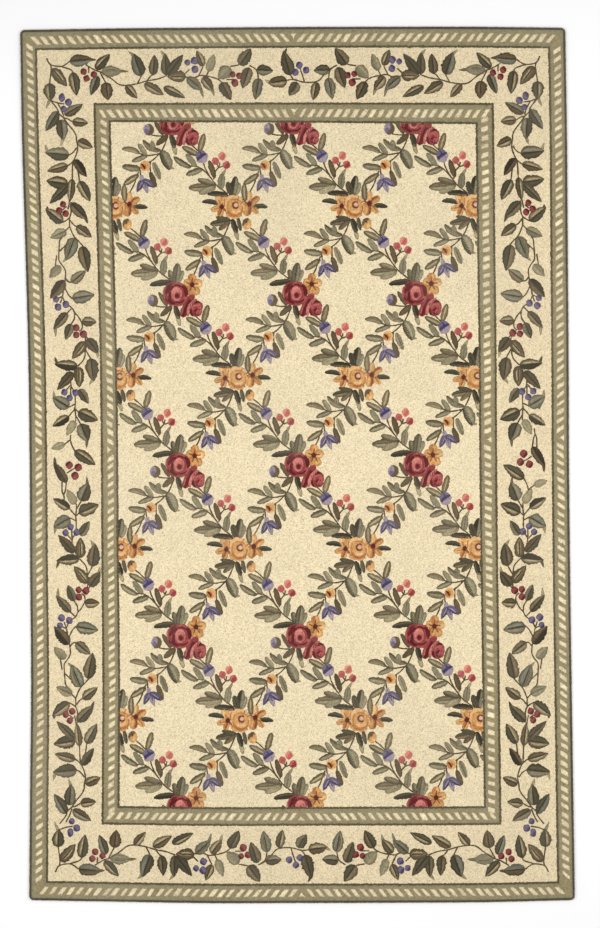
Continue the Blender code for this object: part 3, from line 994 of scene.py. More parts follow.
def trellis(greens, blooms, fruit):
    """Clusters at the nodes of the trellis, and sprays along its slanting runs."""
    routes = []
    field = corners(INNER_LINE)
    reach_u = np.abs(field[:, 0]).max() + HALF_ACROSS
    reach_v = np.abs(field[:, 1]).max() + HALF_DOWN
    for b in range(-4, 9):       # more rows and columns than the field holds
        for a in range(-6, 7):
            place = Place(TRELLIS_START[0] + a * HALF_ACROSS, TRELLIS_START[1] - b * HALF_DOWN, 1, 1)
            if (a + b) % 2 or abs(place.u) > reach_u or abs(place.v) > reach_v:
                continue
            cluster = GOLD_CLUSTER if b % 2 else RED_CLUSTER
            for spray in (cluster, FALLING_SPRAY, RISING_SPRAY):
                sew(greens, blooms, fruit, spray, place)
            for spray in (FALLING_SPRAY, RISING_SPRAY, cluster):
                routes += routes_at(spray.stems, from_node, place)
    return routes


# ---------------------------------------------------------------- bands, lines and bars


STILL_PAST = 0.497               # shares of a band from its middle, where it no longer strays


def band(rows, outer, inner, step, level, paint=None, ragged=0.0, hem=0.0):
    """A band of pile between two rings, mitred at its corners. paint gives a colour across it."""
    outside, within = corners(outer), corners(inner)
    for k in range(4):
        ahead = (k + 1) % 4
        inward = within[k] - outside[k]
        breadth = np.abs(inward).mean()
        n = round(np.linalg.norm(outside[ahead] - outside[k]) / step) + 1
        m = max(3, round(breadth / step) + 1)
        way = np.linspace(0, 1, n)[:, None]
        share = (edged(m, hem / breadth) if hem else np.linspace(0, 1, m))[None, :]
        points = between(between(outside[k], outside[ahead], way[..., None]),
                         between(within[k], within[ahead], way[..., None]), share[..., None])
        wander = ragged * draw.standard_normal((n, share.size)) * (np.abs(way - 0.5) < STILL_PAST)
        points = points + wander[..., None] * np.sign(inward) * ((0, 1) if k % 2 == 0 else (1, 0))
        height = np.full(wander.shape, level.foot)
        if hem:
            height[:, [0, -1]] -= HEM_DROP
        yarn = np.full(3, 0.5) if paint is None else paint(share)
        rows.add(points, height, yarn * uneven(wander.shape, BAND_SPREAD))


def rope_paint(share):
    """Rope green at both edges of the band, and browner between the bars."""
    middle = np.clip(2.4 - 5.0 * np.abs(share - 0.48), 0, 1)
    return mixed(np.ones((*share.shape, 3)) * WOOLS["X"], WOOLS["x"], middle)


def line_paint(share):
    """The dark line's wool."""
    return np.ones((*share.shape, 3)) * WOOLS["a"]


# The cream bars of each band: from how far in to how far in, in metres from the outer ring, where
# the wedge lies along the side, and each bar's place in the row, width and slant
Bars = namedtuple("Bars", "ring side start stop wedge pitch breadth slant first")
FOOT, RIGHT, TOP, LEFT = range(4)
ROPE_BARS = [
    Bars(RIM, TOP, 0.0183, 0.0425, 0.001, 0.0248, 0.0137, 0.0185, 0.022),
    Bars(RIM, FOOT, 0.0172, 0.0392, 0.000, 0.0248, 0.0137, 0.0170, 0.022),
    Bars(RIM, LEFT, 0.0172, 0.0365, 0.043, 0.0240, 0.0135, 0.0120, 0.046),
    Bars(RIM, RIGHT, 0.0140, 0.0350, 0.075, 0.0240, 0.0132, 0.0130, 0.046),
    Bars(MIDDLE_LINE, TOP, 0.0145, 0.0385, 0.000, 0.0243, 0.0138, 0.0150, 0.014),
    Bars(MIDDLE_LINE, FOOT, 0.0115, 0.0325, 0.000, 0.0243, 0.0139, 0.0150, 0.014),
    Bars(MIDDLE_LINE, LEFT, 0.0150, 0.0335, 0.043, 0.0240, 0.0136, 0.0110, 0.030),
    Bars(MIDDLE_LINE, RIGHT, 0.0130, 0.0335, 0.070, 0.0240, 0.0140, 0.0065, 0.030),
]


BAR_VARIATION = 0.10             # of a bar's width and slant
BAR_STRAY, BAR_DEPTH_STRAY, LOOP_STRAY = 0.0009, 0.0006, 0.0005
BAR_SPREAD = 0.06                # of the shade, from bar to bar
BAR_EDGE = 0.25                  # how much khaki a bar's edge takes
WEDGE_DEPTH = 0.75               # as a share of a bar's


def rope_bars(rows, bars):
    """A row of slanting cream bars along one side, leaning the other way past its wedge."""
    across, along = (1, 0) if bars.side in (FOOT, TOP) else (0, 1)
    start, stop = corners(bars.ring)[[bars.side, (bars.side + 1) % 4]]
    low, high = sorted((start[along], stop[along]))
    rope_bar(rows, bars, start, stop, 0, bars.wedge)
    for way, end in ((-1, low), (1, high)):
        middle = bars.wedge + way * bars.pitch
        while abs(middle) < abs(end) - bars.first:
            rope_bar(rows, bars, start, stop, way, middle)
            middle += way * bars.pitch


def rope_bar(rows, bars, start, stop, way, middle):
    """One bar: a slanting patch, or where way is 0 the wedge that the rows lean away from."""
    ends = bars.side in (FOOT, TOP)
    inward = 1 if bars.side in (FOOT, LEFT) else -1
    t = edged(BAR_ROWS, HEM / (bars.stop - bars.start))[:, None]
    s = 2 * edged(BAR_COLUMNS, HEM / bars.breadth)[None, :] - 1
    breadth = bars.breadth * (1 + BAR_VARIATION * draw.standard_normal())
    middle = middle + BAR_STRAY * draw.standard_normal()
    if way == 0:
        along = middle + s * np.maximum(0.78 - 1.1 * t, 0.04) * breadth
        deep = bars.start + (bars.stop - bars.start) * WEDGE_DEPTH * t + 0 * s
    else:
        lean = bars.slant * (1 + BAR_VARIATION * draw.standard_normal())
        narrowed = 1 - 0.12 * np.abs(2 * t - 1) ** 4
        along = middle - way * lean * (t - 0.5) + s * breadth / 2 * narrowed
        deep = bars.start + (bars.stop - bars.start) * t + 0 * s
        deep = deep + BAR_DEPTH_STRAY * draw.standard_normal()
    along = along + LOOP_STRAY * draw.standard_normal(along.shape)
    deep = deep + LOOP_STRAY * draw.standard_normal(along.shape)
    axis = 0 if ends else 1
    place = (along - start[axis]) / (stop[axis] - start[axis])
    rim = between(start[1 - axis], stop[1 - axis], place) + inward * deep
    points = np.stack((along, rim) if ends else (rim, along), axis=-1)
    edge = np.maximum(np.abs(s) + 0 * t, np.abs(2 * t - 1) + 0 * s)
    yarn = np.ones((*edge.shape, 1)) * WOOLS["Z"] * (1 + BAR_SPREAD * draw.standard_normal())
    yarn = mixed(yarn, WOOLS["K"], BAR_EDGE * edge ** 6)
    rows.add(points, hemmed(edge.shape, BAR.foot), yarn * uneven(edge.shape, BAND_SPREAD))


def field_half(rows, first, last):
    """The field's ground pile between two shares of its width."""
    foot_left, foot_right, top_right, top_left = corners(INNER_LINE)
    m = round((last - first) * (foot_right - foot_left)[0] / GROUND_STEP) + 1
    n = round((top_left - foot_left)[1] / GROUND_STEP) + 1
    across = np.linspace(first, last, m)[None, :, None]
    up = np.linspace(0, 1, n)[:, None, None]
    points = between(between(foot_left, foot_right, across), between(top_left, top_right, across), up)
    rows.add(points, GROUND.foot, np.full(3, 0.5))


# ---------------------------------------------------------------- node trees


def fill(tree, made, values):
    """Gives a node's inputs their values, or links them. A node stands for its first output."""
    for key, value in dict(values).items():
        if isinstance(value, bpy.types.Node):
            value = value.outputs[0]
        if isinstance(value, bpy.types.NodeSocket):
            tree.links.new(value, made.inputs[key])
        else:
            made.inputs[key].default_value = value
    return made


def node(tree, kind, values=(), **settings):
    """Adds a node with its settings and inputs."""
    made = tree.nodes.new(kind)
    for key, value in settings.items():
        setattr(made, key, value)
    return fill(tree, made, values)


def math_node(tree, operation, first, second=0.0):
    """A Math node."""
    return node(tree, "ShaderNodeMath", {0: first, 1: second}, operation=operation)


def vector_node(tree, operation, first, second):
    """A Vector Math node, whose second input is a number where it scales."""
    key = "Scale" if operation == "SCALE" else 1
    return node(tree, "ShaderNodeVectorMath", {0: first, key: second}, operation=operation)


def random_value(tree, low, high, seed, **more):
    """A chance number between two values for each point or instance."""
    values = {2: low, 3: high, "Seed": seed, **more}
    return node(tree, "FunctionNodeRandomValue", values, data_type="FLOAT").outputs[1]


def circle(tree, resolution, radius):
    """A ring of yarn or the section of a stem, as a curve."""
    return node(tree, "GeometryNodeCurvePrimitiveCircle",
                {"Resolution": resolution, "Radius": radius}, mode="RADIUS")


def place_parts(tree):
    """The X, Y and Z of each point's place."""
    where = node(tree, "GeometryNodeInputPosition")
    return node(tree, "ShaderNodeSeparateXYZ", {0: where}).outputs


def new_tree(kind, name, takes, gives):
    """A node group with named sockets. takes maps a name to its type and default."""
    tree = bpy.data.node_groups.new(name, kind)
    for label, (socket, default) in takes.items():
        made = tree.interface.new_socket(label, in_out="INPUT", socket_type=socket)
        if default is not None:
            made.default_value = default
    for label, socket in gives.items():
        tree.interface.new_socket(label, in_out="OUTPUT", socket_type=socket)
    return tree, tree.nodes.new("NodeGroupInput").outputs, tree.nodes.new("NodeGroupOutput")


FLOAT, VECTOR, COLOUR = "NodeSocketFloat", "NodeSocketVector", "NodeSocketColor"
GEOMETRY, WOOL, COUNT = "NodeSocketGeometry", "NodeSocketMaterial", "NodeSocketInt"


def growing_tree(name, sizes):
    """A Geometry Nodes group that takes a mesh, its named sizes, a seed and a wool."""
    takes = {"Geometry": (GEOMETRY, None)}
    takes.update({label: (FLOAT, size) for label, size in sizes.items()})
    takes.update({"Seed": (COUNT, 0), "Wool": (WOOL, None)})
    return new_tree("GeometryNodeTree", name, takes, {"Geometry": GEOMETRY})


def finish_tree(tree, geometry, given, result):
    """The end of every growing tree: smooth faces, no instances left, and one wool."""
    smooth = node(tree, "GeometryNodeSetShadeSmooth", {"Geometry": geometry})
    real = node(tree, "GeometryNodeRealizeInstances", {"Geometry": smooth})
    last = node(tree, "GeometryNodeSetMaterial", {"Geometry": real, "Material": given["Wool"]})
    fill(tree, result, {"Geometry": last})
    return tree


def loop_tree():
    """Raises every other point of the pile into a loop that leans a little its own way."""
    tree, given, result = growing_tree("Hooked loops", {
        "Loop Height": 0.001, "Unevenness": 0.45, "Sway": 0.0004,
    })
    named = node(tree, "GeometryNodeInputNamedAttribute", {"Name": "crown"}, data_type="FLOAT")
    crown = named.outputs["Attribute"]
    place = node(tree, "GeometryNodeInputPosition")
    apart = vector_node(tree, "SCALE", place, 1000.0)
    chance = node(tree, "ShaderNodeTexWhiteNoise", {"Vector": apart, "W": given["Seed"]},
                  noise_dimensions="4D").outputs
    lost = math_node(tree, "MULTIPLY", chance["Value"], given["Unevenness"])
    kept = math_node(tree, "SUBTRACT", 1.0, lost)
    rise = math_node(tree, "MULTIPLY", given["Loop Height"], kept)
    rise = math_node(tree, "MULTIPLY", rise, crown)
    lean = vector_node(tree, "SUBTRACT", chance["Color"], (0.5, 0.5, 0.5))
    reach = math_node(tree, "MULTIPLY", given["Sway"], 2.0)
    reach = math_node(tree, "MULTIPLY", reach, crown)
    flat = vector_node(tree, "MULTIPLY", vector_node(tree, "SCALE", lean, reach), (1.0, 1.0, 0.0))
    up = node(tree, "ShaderNodeCombineXYZ", {"Z": rise})
    moved = node(tree, "GeometryNodeSetPosition", {
        "Geometry": given["Geometry"], "Offset": vector_node(tree, "ADD", flat, up),
    })
    return finish_tree(tree, moved, given, result)


def stem_tree():
    """Hooks one fat row of loops along each route: a low tube whose thickness wavers."""
    tree, given, result = growing_tree("Hooked stems", {
        "Stem Width": 0.0040, "Flatness": 0.4, "Loop Length": 0.005, "Unevenness": 0.3,
        "Level": 0.0077,
    })
    curve = node(tree, "GeometryNodeMeshToCurve", {"Mesh": given["Geometry"]})
    even = node(tree, "GeometryNodeResampleCurve",
                {"Curve": curve, "Length": given["Loop Length"]}, mode="LENGTH")
    least = math_node(tree, "SUBTRACT", 1.0, given["Unevenness"])
    chance = random_value(tree, least, 1.15, given["Seed"])
    half = math_node(tree, "MULTIPLY", given["Stem Width"], 0.5)
    radius = math_node(tree, "MULTIPLY", chance, half)
    sized = node(tree, "GeometryNodeSetCurveRadius", {"Curve": even, "Radius": radius})
    tube = node(tree, "GeometryNodeCurveToMesh", {
        "Curve": sized, "Profile Curve": circle(tree, 6, 1.0), "Fill Caps": True,
        "Scale": node(tree, "GeometryNodeInputRadius"),
    })
    parts = place_parts(tree)
    above = math_node(tree, "SUBTRACT", parts["Z"], given["Level"])
    low = math_node(tree, "MULTIPLY", above, given["Flatness"])
    level = math_node(tree, "ADD", low, given["Level"])
    flat = node(tree, "ShaderNodeCombineXYZ", {"X": parts["X"], "Y": parts["Y"], "Z": level})
    moved = node(tree, "GeometryNodeSetPosition", {"Geometry": tube, "Position": flat})
    return finish_tree(tree, moved, given, result)


def whip_tree():
    """Wraps yarn round a rim, in a slanting turn at every pitch."""
    tree, given, result = growing_tree("Whip stitches", {
        "Pitch": 0.0050, "Half Width": 0.0033, "Half Height": 0.0036, "Yarn Radius": 0.0011,
        "Spread": 2.1, "Slant": 0.0006,
    })
    rim = node(tree, "GeometryNodeMeshToCurve", {"Mesh": given["Geometry"]})
    points = node(tree, "GeometryNodeCurveToPoints", {"Curve": rim, "Length": given["Pitch"]},
                  mode="LENGTH").outputs
    aim = node(tree, "FunctionNodeAlignRotationToVector", {"Vector": points["Tangent"]},
               axis="X", pivot_axis="Z")
    parts = place_parts(tree)
    shifted = math_node(tree, "MULTIPLY", parts["Y"], given["Slant"])
    wide = math_node(tree, "MULTIPLY", parts["X"], given["Half Width"])
    tall = math_node(tree, "MULTIPLY", parts["Y"], given["Half Height"])
    ring = node(tree, "ShaderNodeCombineXYZ", {"X": shifted, "Y": wide, "Z": tall})
    turn = node(tree, "GeometryNodeSetPosition",
                {"Geometry": circle(tree, 6, 1.0), "Position": ring})
    strand = circle(tree, 4, given["Yarn Radius"])
    yarn = node(tree, "GeometryNodeCurveToMesh", {"Curve": turn, "Profile Curve": strand})
    chance = random_value(tree, 0.90, 1.08, given["Seed"])
    broad = math_node(tree, "MULTIPLY", chance, given["Spread"])
    scale = node(tree, "ShaderNodeCombineXYZ", {"X": broad, "Y": chance, "Z": 1.0})
    wraps = node(tree, "GeometryNodeInstanceOnPoints", {
        "Points": points["Points"], "Instance": yarn, "Rotation": aim, "Scale": scale,
    })
    tilt = random_value(tree, -0.12, 0.12, given["Seed"], ID=7)
    spin = node(tree, "ShaderNodeCombineXYZ", {"Z": tilt})
    turned = node(tree, "GeometryNodeRotateInstances", {"Instances": wraps, "Rotation": spin})
    return finish_tree(tree, turned, given, result)


def linked(name, data):
    """A new object in the scene."""
    made = bpy.data.objects.new(name, data)
    bpy.context.scene.collection.objects.link(made)
    return made


def new_mesh(name, points, edges=(), faces=()):
    """A mesh from its points, and the edges or faces between them."""
    mesh = bpy.data.meshes.new(name)
    mesh.from_pydata(points, edges, faces)
    return mesh


def grown(name, mesh, tree, **sizes):
    """Runs a Geometry Nodes tree on a mesh with its inputs set, and returns the plain result."""
    source = linked(name + "_source", mesh)
    modifier = source.modifiers.new(tree.name, "NODES")
    modifier.node_group = tree
    sockets = {item.name: item.identifier for item in tree.interface.items_tree
               if item.item_type == "SOCKET" and item.in_out == "INPUT"}
    for label, value in sizes.items():
        modifier[sockets[label.replace("_", " ")]] = value
    evaluated = source.evaluated_get(bpy.context.evaluated_depsgraph_get())
    plain = bpy.data.meshes.new_from_object(evaluated)
    source.modifiers.clear()
    bpy.data.objects.remove(source)
    plain.name = name
    if plain.attributes.get("crown") is not None:
        plain.attributes.remove(plain.attributes["crown"])
    return linked(name, plain)


# ---------------------------------------------------------------- wool materials


def noise(tree, where, scale, detail):
    """Soft noise in the plane of the rug."""
    return node(tree, "ShaderNodeTexNoise", {"Vector": where, "Scale": scale, "Detail": detail},
                noise_dimensions="2D")


def mix_colours(tree, share, first, second):
    """A colour between two others, by a share from 0 to 1."""
    return node(tree, "ShaderNodeMix", {0: share, 6: first, 7: second},
                data_type="RGBA").outputs[2]


def looped_yarn_group():
    """Cells the size of a loop: how high the wool stands, and two chance numbers for each loop."""
    tree, given, result = new_tree("ShaderNodeTree", "Looped yarn", {
        "Vector": (VECTOR, None), "Loops per Metre": (FLOAT, 240.0), "Regularity": (FLOAT, 0.8),
        "Twist": (FLOAT, 0.25),
    }, {"Height": FLOAT, "Chance": FLOAT, "Second Chance": FLOAT})
    loops = node(tree, "ShaderNodeTexVoronoi", {
        "Vector": given["Vector"], "Scale": given["Loops per Metre"],
        "Randomness": given["Regularity"],
    }, voronoi_dimensions="2D", feature="F1").outputs
    round_top = math_node(tree, "MULTIPLY", loops["Distance"], loops["Distance"])
    dome = math_node(tree, "SUBTRACT", 1.0, round_top)
    fuzz = math_node(tree, "MULTIPLY", noise(tree, given["Vector"], 900.0, 1.0), given["Twist"])
    chance = node(tree, "ShaderNodeSeparateColor", {0: loops["Color"]}).outputs
    fill(tree, result, {"Height": math_node(tree, "ADD", dome, fuzz), "Chance": chance[0],
                        "Second Chance": chance[1]})
    return tree


def heather_group():
    """Dyed wool: each loop its own shade, stray darker loops, and soft clouds over the rug."""
    tree, given, result = new_tree("ShaderNodeTree", "Heathered wool", {
        "Vector": (VECTOR, None), "Wool": (COLOUR, (0.5, 0.5, 0.5, 1.0)),
        "Stray Wool": (COLOUR, (0.3, 0.25, 0.18, 1.0)), "Chance": (FLOAT, 0.5),
        "Second Chance": (FLOAT, 0.5), "Heather": (FLOAT, 0.16), "Stray Share": (FLOAT, 0.1),
        "Stray Strength": (FLOAT, 0.3), "Clouds": (FLOAT, 0.1),
    }, {"Color": COLOUR, "Roughness": FLOAT})
    even = math_node(tree, "SUBTRACT", given["Chance"], 0.5)
    shade = math_node(tree, "MULTIPLY", even, given["Heather"])
    both = math_node(tree, "ADD", noise(tree, given["Vector"], 9.0, 3.0),
                     noise(tree, given["Vector"], 330.0, 1.0))
    drift = math_node(tree, "MULTIPLY", math_node(tree, "SUBTRACT", both, 1.0), given["Clouds"])
    level = math_node(tree, "ADD", math_node(tree, "ADD", shade, drift), 1.0)
    toned = vector_node(tree, "SCALE", given["Wool"], level)
    stray = math_node(tree, "LESS_THAN", given["Second Chance"], given["Stray Share"])
    stray = math_node(tree, "MULTIPLY", stray, given["Stray Strength"])
    rough = math_node(tree, "MULTIPLY", given["Chance"], 0.12)
    fill(tree, result, {"Color": mix_colours(tree, stray, toned, given["Stray Wool"]),
                        "Roughness": math_node(tree, "ADD", rough, 0.84)})
    return tree


def tread_group():
    """Where feet have passed the wool is a little dusty and flatter: a colour and a height."""
    tree, given, result = new_tree("ShaderNodeTree", "Trodden pile", {
        "Vector": (VECTOR, None), "Color": (COLOUR, (0.5, 0.5, 0.5, 1.0)), "Height": (FLOAT, 1.0),
        "Dust": (COLOUR, (0.45, 0.38, 0.28, 1.0)), "Tread": (FLOAT, 0.08),
    }, {"Color": COLOUR, "Height": FLOAT})
    worn = node(tree, "ShaderNodeMapRange",
                {0: noise(tree, given["Vector"], 3.2, 4.0), 1: 0.42, 2: 0.68},
                interpolation_type="SMOOTHSTEP")
    share = math_node(tree, "MULTIPLY", worn, given["Tread"])
    flat = math_node(tree, "SUBTRACT", 1.0, math_node(tree, "MULTIPLY", share, 2.0))
    fill(tree, result, {"Color": mix_colours(tree, share, given["Color"], given["Dust"]),
                        "Height": math_node(tree, "MULTIPLY", given["Height"], flat)})
    return tree


GROUPS = {"loops": looped_yarn_group(), "heather": heather_group(), "tread": tread_group()}
TREES = {"loops": loop_tree(), "stems": stem_tree(), "whip": whip_tree()}

# The stray wool, its share of the loops and its strength, how much the shade varies from loop to
# loop and in clouds, the loops to a metre and how deep they look
Finish = namedtuple("Finish", "stray strays strength heather clouds loops relief")
GROUND_FINISH = Finish(dyed("#A08A60"), 0.08, 0.50, 0.36, 0.05, 400.0, 0.0006)
YARN_FINISH = Finish(WOOLS["D"], 0.08, 0.24, 0.30, 0.08, 300.0, 0.0008)
STEM_FINISH = Finish(WOOLS["D"], 0.2, 0.4, 0.3, 0.3, 240.0, 0.0009)


def new_material(name):
    """A material with its node tree and its shader."""
    material = bpy.data.materials.new(name)
    material.use_nodes = True
    return material, material.node_tree, material.node_tree.nodes["Principled BSDF"]


def placed(tree, group, values):
    """One of the wool groups, placed in a material."""
    return node(tree, "ShaderNodeGroup", values, node_tree=GROUPS[group]).outputs


def wool_material(name, finish, code=None):
    """Looped wool of one colour, or of the yarn colours that a piece's loops carry."""
    material, tree, shader = new_material(name)
    where = node(tree, "ShaderNodeTexCoord").outputs["Object"]
    if code is None:
        colour = node(tree, "ShaderNodeVertexColor", layer_name="yarn").outputs["Color"]
    else:
        colour = (*dyed(code), 1.0)
    pile = placed(tree, "loops", {"Vector": where, "Loops per Metre": finish.loops})
    heathered = placed(tree, "heather", {
        "Vector": where, "Wool": colour, "Chance": pile["Chance"],
        "Second Chance": pile["Second Chance"], "Heather": finish.heather,
        "Stray Share": finish.strays, "Stray Strength": finish.strength,
        "Clouds": finish.clouds, "Stray Wool": (*finish.stray, 1.0),
    })
    trodden = placed(tree, "tread", {
        "Vector": where, "Color": heathered["Color"], "Height": pile["Height"],
    })
    bump = node(tree, "ShaderNodeBump", {
        "Height": trodden["Height"], "Strength": 0.8, "Distance": finish.relief,
    })
    fill(tree, shader, {
        "Base Color": trodden["Color"], "Normal": bump, "Roughness": heathered["Roughness"],
        "Sheen Weight": 0.08, "Sheen Roughness": 0.5, "Specular IOR Level": 0.2,
    })
    return material


def canvas_material():
    """The cotton ground cloth, a plain weave that shows from below."""
    material, tree, shader = new_material("cotton_canvas")
    where = node(tree, "ShaderNodeTexCoord").outputs["Object"]
    threads = [node(tree, "ShaderNodeTexWave",
                    {"Vector": where, "Scale": 95.0, "Distortion": 0.4, "Detail": 1.0},
                    wave_type="BANDS", bands_direction=direction).outputs["Fac"]
               for direction in ("X", "Y")]
    height = math_node(tree, "MAXIMUM", *threads)
    mottle = node(tree, "ShaderNodeTexNoise", {"Vector": where, "Scale": 30.0, "Detail": 4.0})
    # Painted shade: lighter on the threads' crowns and darker in the hollows between them, mixed with
    # a random mottle of the cotton
    shade = math_node(tree, "MULTIPLY", math_node(tree, "ADD", height, mottle), 0.5)
    colour = mix_colours(tree, shade, (0.33, 0.27, 0.18, 1), (0.62, 0.55, 0.42, 1))
    bump = node(tree, "ShaderNodeBump", {"Height": height, "Strength": 0.7, "Distance": 0.0005})
    rough = node(tree, "ShaderNodeMapRange", {0: mottle, 3: 0.82, 4: 0.96})
    fill(tree, shader, {"Base Color": colour, "Normal": bump, "Roughness": rough})
    return material


# ---------------------------------------------------------------- pieces


def finished(piece, slot, *nodes):
    """Makes a piece part of the rug."""
    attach(piece, "root")
    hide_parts(*nodes)
    print("piece", piece.name, sum(len(face.vertices) - 2 for face in piece.data.polygons))
    return piece


def hooked(name, rows, wool, level, within=None):
    """A piece of pile, from its rows of loops."""
    piece = grown(name, rows.mesh(name, within), TREES["loops"], Loop_Height=level.loop, Sway=SWAY,
                  Seed=len(name), Wool=wool)
    return finished(piece, "hooked_wool", "hooked_body")


def stems(name, routes, wool, within=None):
    """A piece of stems, each hooked along its route, and cut off where it leaves the ring."""
    points, edges = [], []
    for route in routes:
        route = smooth_route(route)
        kept = np.ones(len(route), bool) if within is None else inside(route, within)
        for k, (x, y) in enumerate(np.stack(as_it_lies(*route.T), axis=-1)):
            points.append((x, y, STEM_HEIGHT))
            if k and kept[k - 1] and kept[k]:
                edges.append((len(points) - 2, len(points) - 1))
    piece = grown(name, new_mesh(name, points, edges), TREES["stems"], Level=STEM_HEIGHT,
                  Seed=len(name), Wool=wool)
    return finished(piece, "hooked_wool", "hooked_body")


def smooth_route(route):
    """A smooth curve through a route's points."""
    around = np.concatenate((2 * route[:1] - route[1:2], route, 2 * route[-1:] - route[-2:-1]))
    n = len(route) - 1
    share = (np.arange(ROUTE_PARTS) / ROUTE_PARTS)[None, :, None]
    curve = curved(*(around[k:k + n, None] for k in range(4)), share)
    return np.concatenate((curve.reshape(-1, 2), route[-1:]))


def canvas_back():
    """The ground cloth that holds the loops: a closed flat slab inside the whipping."""
    n, m = round(LENGTH / CANVAS_STEP) + 1, round(WIDTH / CANVAS_STEP) + 1
    v = np.linspace(-1, 1, n)[:, None] * (LENGTH / 2 - CANVAS_INSET)
    u = np.linspace(-1, 1, m)[None, :] * (WIDTH / 2 - CANVAS_INSET)
    x, y = as_it_lies(*np.broadcast_arrays(u, v))
    top = np.stack((x, y, np.full((n, m), CANVAS_TOP)), axis=-1).reshape(-1, 3)
    under = top * (1, 1, 0) + (0, 0, CANVAS_FOOT)
    index = np.arange(n * m).reshape(n, m)
    over = (index[:-1, :-1], index[:-1, 1:], index[1:, 1:], index[1:, :-1])
    over = np.stack(over, axis=-1).reshape(-1, 4)
    rim = np.concatenate((index[0, :], index[1:, -1], index[-1, -2::-1], index[-2:0:-1, 0]))
    ahead = np.roll(rim, -1)
    wall = np.stack((rim + n * m, ahead + n * m, ahead, rim), axis=-1)
    faces = np.concatenate((over, over[:, ::-1] + n * m, wall))
    mesh = new_mesh("canvas_back", np.concatenate((top, under)), (), faces)
    mesh.materials.append(canvas_material())
    return finished(linked("canvas_back", mesh), "hooked_wool", "hooked_body")


def whipping(wool):
    """Yarn whipped round the rim, all the way and round its corners."""
    centres = corners(moved_in(RIM, WHIP_INSET + WHIP_CORNER))
    route = []
    for k, (u, v) in enumerate(centres):
        for angle in (k + 2 + np.linspace(0, 1, WHIP_TURN)) * math.pi / 2:
            route.append((u + WHIP_CORNER * math.cos(angle), v + WHIP_CORNER * math.sin(angle)))
        start = np.array(route[-1])
        stop = centres[(k + 1) % 4] + start - (u, v)
        length = np.linalg.norm(stop - start)
        for gone in np.arange(1, round(length / WHIP_STEP)) * WHIP_STEP:
            route.append(between(start, stop, gone / length))
    points = [(*as_it_lies(u, v), WHIP_LEVEL) for u, v in route]
    edges = [(k, (k + 1) % len(points)) for k in range(len(points))]
    piece = grown("whipped_rim", new_mesh("whipping", points, edges), TREES["whip"], Seed=4,
                  Wool=wool)
    return finished(piece, "whipped_edge", "edge_left", "edge_right", "edge_top", "edge_foot")


field_wool = wool_material("field_wool", GROUND_FINISH, "#E5D5B0")
vine_ground_wool = wool_material("vine_ground_wool", GROUND_FINISH._replace(clouds=0.06), "#E1D0AB")
yarn_wool = wool_material("yarn_wool", YARN_FINISH)
stem_wool = wool_material("stem_wool", STEM_FINISH, "#57472F")
rim_wool = wool_material("rim_wool", STEM_FINISH._replace(loops=420.0, relief=0.0004), "#5E553A")

pile = [canvas_back()]
for name, first, last in (("field_pile_left", 0.0, 0.5), ("field_pile_right", 0.5, 1.0)):
    ground = Rows()
    field_half(ground, first, last)
    pile.append(hooked(name, ground, field_wool, GROUND))

for name, outer, inner, wool, paint in (
        ("vine_ground", OUTER_LINE, MIDDLE_LINE, vine_ground_wool, None),
        ("rope_band_outer", moved_in(RIM, RIM_WIDTH), OUTER_LINE, yarn_wool, rope_paint),
        ("rope_band_inner", MIDDLE_LINE, INNER_LINE, yarn_wool, rope_paint)):
    ground = Rows()
    band(ground, outer, inner, GROUND_STEP, GROUND, paint)
    pile.append(hooked(name, ground, wool, GROUND))

lines = Rows()
for line in (OUTER_LINE, MIDDLE_LINE, INNER_LINE):
    band(lines, moved_in(line, -LINE_WIDTH / 2), moved_in(line, LINE_WIDTH / 2), LINE_STEP, LINE,
         line_paint, LINE_WANDER, HEM)
pile.append(hooked("dark_lines", lines, yarn_wool, LINE))

cream = Rows()
for bars in ROPE_BARS:
    rope_bars(cream, bars)
pile.append(hooked("rope_bars", cream, yarn_wool, BAR))

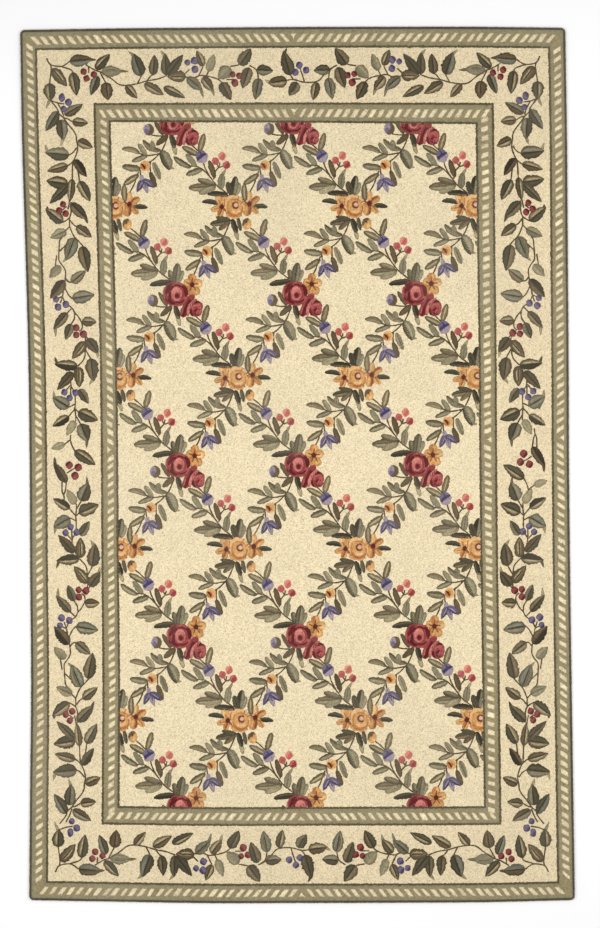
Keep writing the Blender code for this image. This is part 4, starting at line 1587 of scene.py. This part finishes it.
field = moved_in(INNER_LINE, FIELD_INSET)
vine_leaves, vine_fruit = Rows(), Rows()
vine_routes = vine(vine_leaves, vine_fruit)
greens, blooms, field_fruit = Rows(), Rows(), Rows()
trellis_routes = trellis(greens, blooms, field_fruit)
pile.append(stems("vine_stems", vine_routes, stem_wool))
pile.append(stems("trellis_stems", trellis_routes, stem_wool, field))
for name, rows, level, within in (
        ("vine_leaves", vine_leaves, LEAF, None), ("vine_berries", vine_fruit, BLOOM, None),
        ("trellis_leaves", greens, LEAF, field), ("trellis_berries", field_fruit, BLOOM, field),
        ("trellis_blooms", blooms, BLOOM, field)):
    pile.append(hooked(name, rows, yarn_wool, level, within))
pile.append(whipping(rim_wool))

# ---------------------------------------------------------------- stage

FRAME_HEIGHT = 928 * CHART_STEP                  # what the picture takes in, top to bottom
CAMERA_HEIGHT, SENSOR_HEIGHT = 7.0, 36.0
CAMERA_OFF_MIDDLE = (0.0064, 0.0025)             # the picture's middle from the rug's
FLOOR_SIZE = 12.0

Lamp = namedtuple("Lamp", "name place size power")
LAMPS = (Lamp("softbox", (-1.5, -0.25, 2.85), 2.0, 48.5), Lamp("fill", (1.7, 0.1, 2.85), 2.2, 49.0))


def studio():
    """A pale floor, two soft lights overhead and a camera that looks straight down."""
    bpy.ops.mesh.primitive_plane_add(size=FLOOR_SIZE, location=(0, 0, 0))
    floor = bpy.context.object
    floor.name = "studio_floor"
    material, tree, shader = new_material("pale_floor")
    fill(tree, shader,
         {"Base Color": (0.98, 0.98, 0.98, 1), "Roughness": 0.9, "Specular IOR Level": 0.1})
    floor.data.materials.append(material)

    for lamp in LAMPS:
        data = bpy.data.lights.new(lamp.name, "AREA")
        data.shape = "SQUARE"
        data.size = lamp.size
        data.energy = lamp.power
        light = linked(lamp.name, data)
        light.location = lamp.place
        light.rotation_euler = (-light.location.normalized()).to_track_quat("-Z", "Y").to_euler()
    world = bpy.data.worlds.new("studio")
    world.use_nodes = True
    fill(world.node_tree, world.node_tree.nodes["Background"],
         {"Color": (1.0, 1.0, 1.0, 1), "Strength": 0.45})
    bpy.context.scene.world = world
    bpy.context.scene.view_settings.view_transform = "Standard"

    lens = bpy.data.cameras.new("camera")
    lens.sensor_fit = "VERTICAL"
    lens.sensor_height = SENSOR_HEIGHT
    lens.lens = SENSOR_HEIGHT * CAMERA_HEIGHT / FRAME_HEIGHT
    lens.clip_end = 50.0
    camera = linked("camera", lens)
    camera.location = (*CAMERA_OFF_MIDDLE, CAMERA_HEIGHT + GROUND.foot)
    bpy.context.scene.camera = camera


studio()
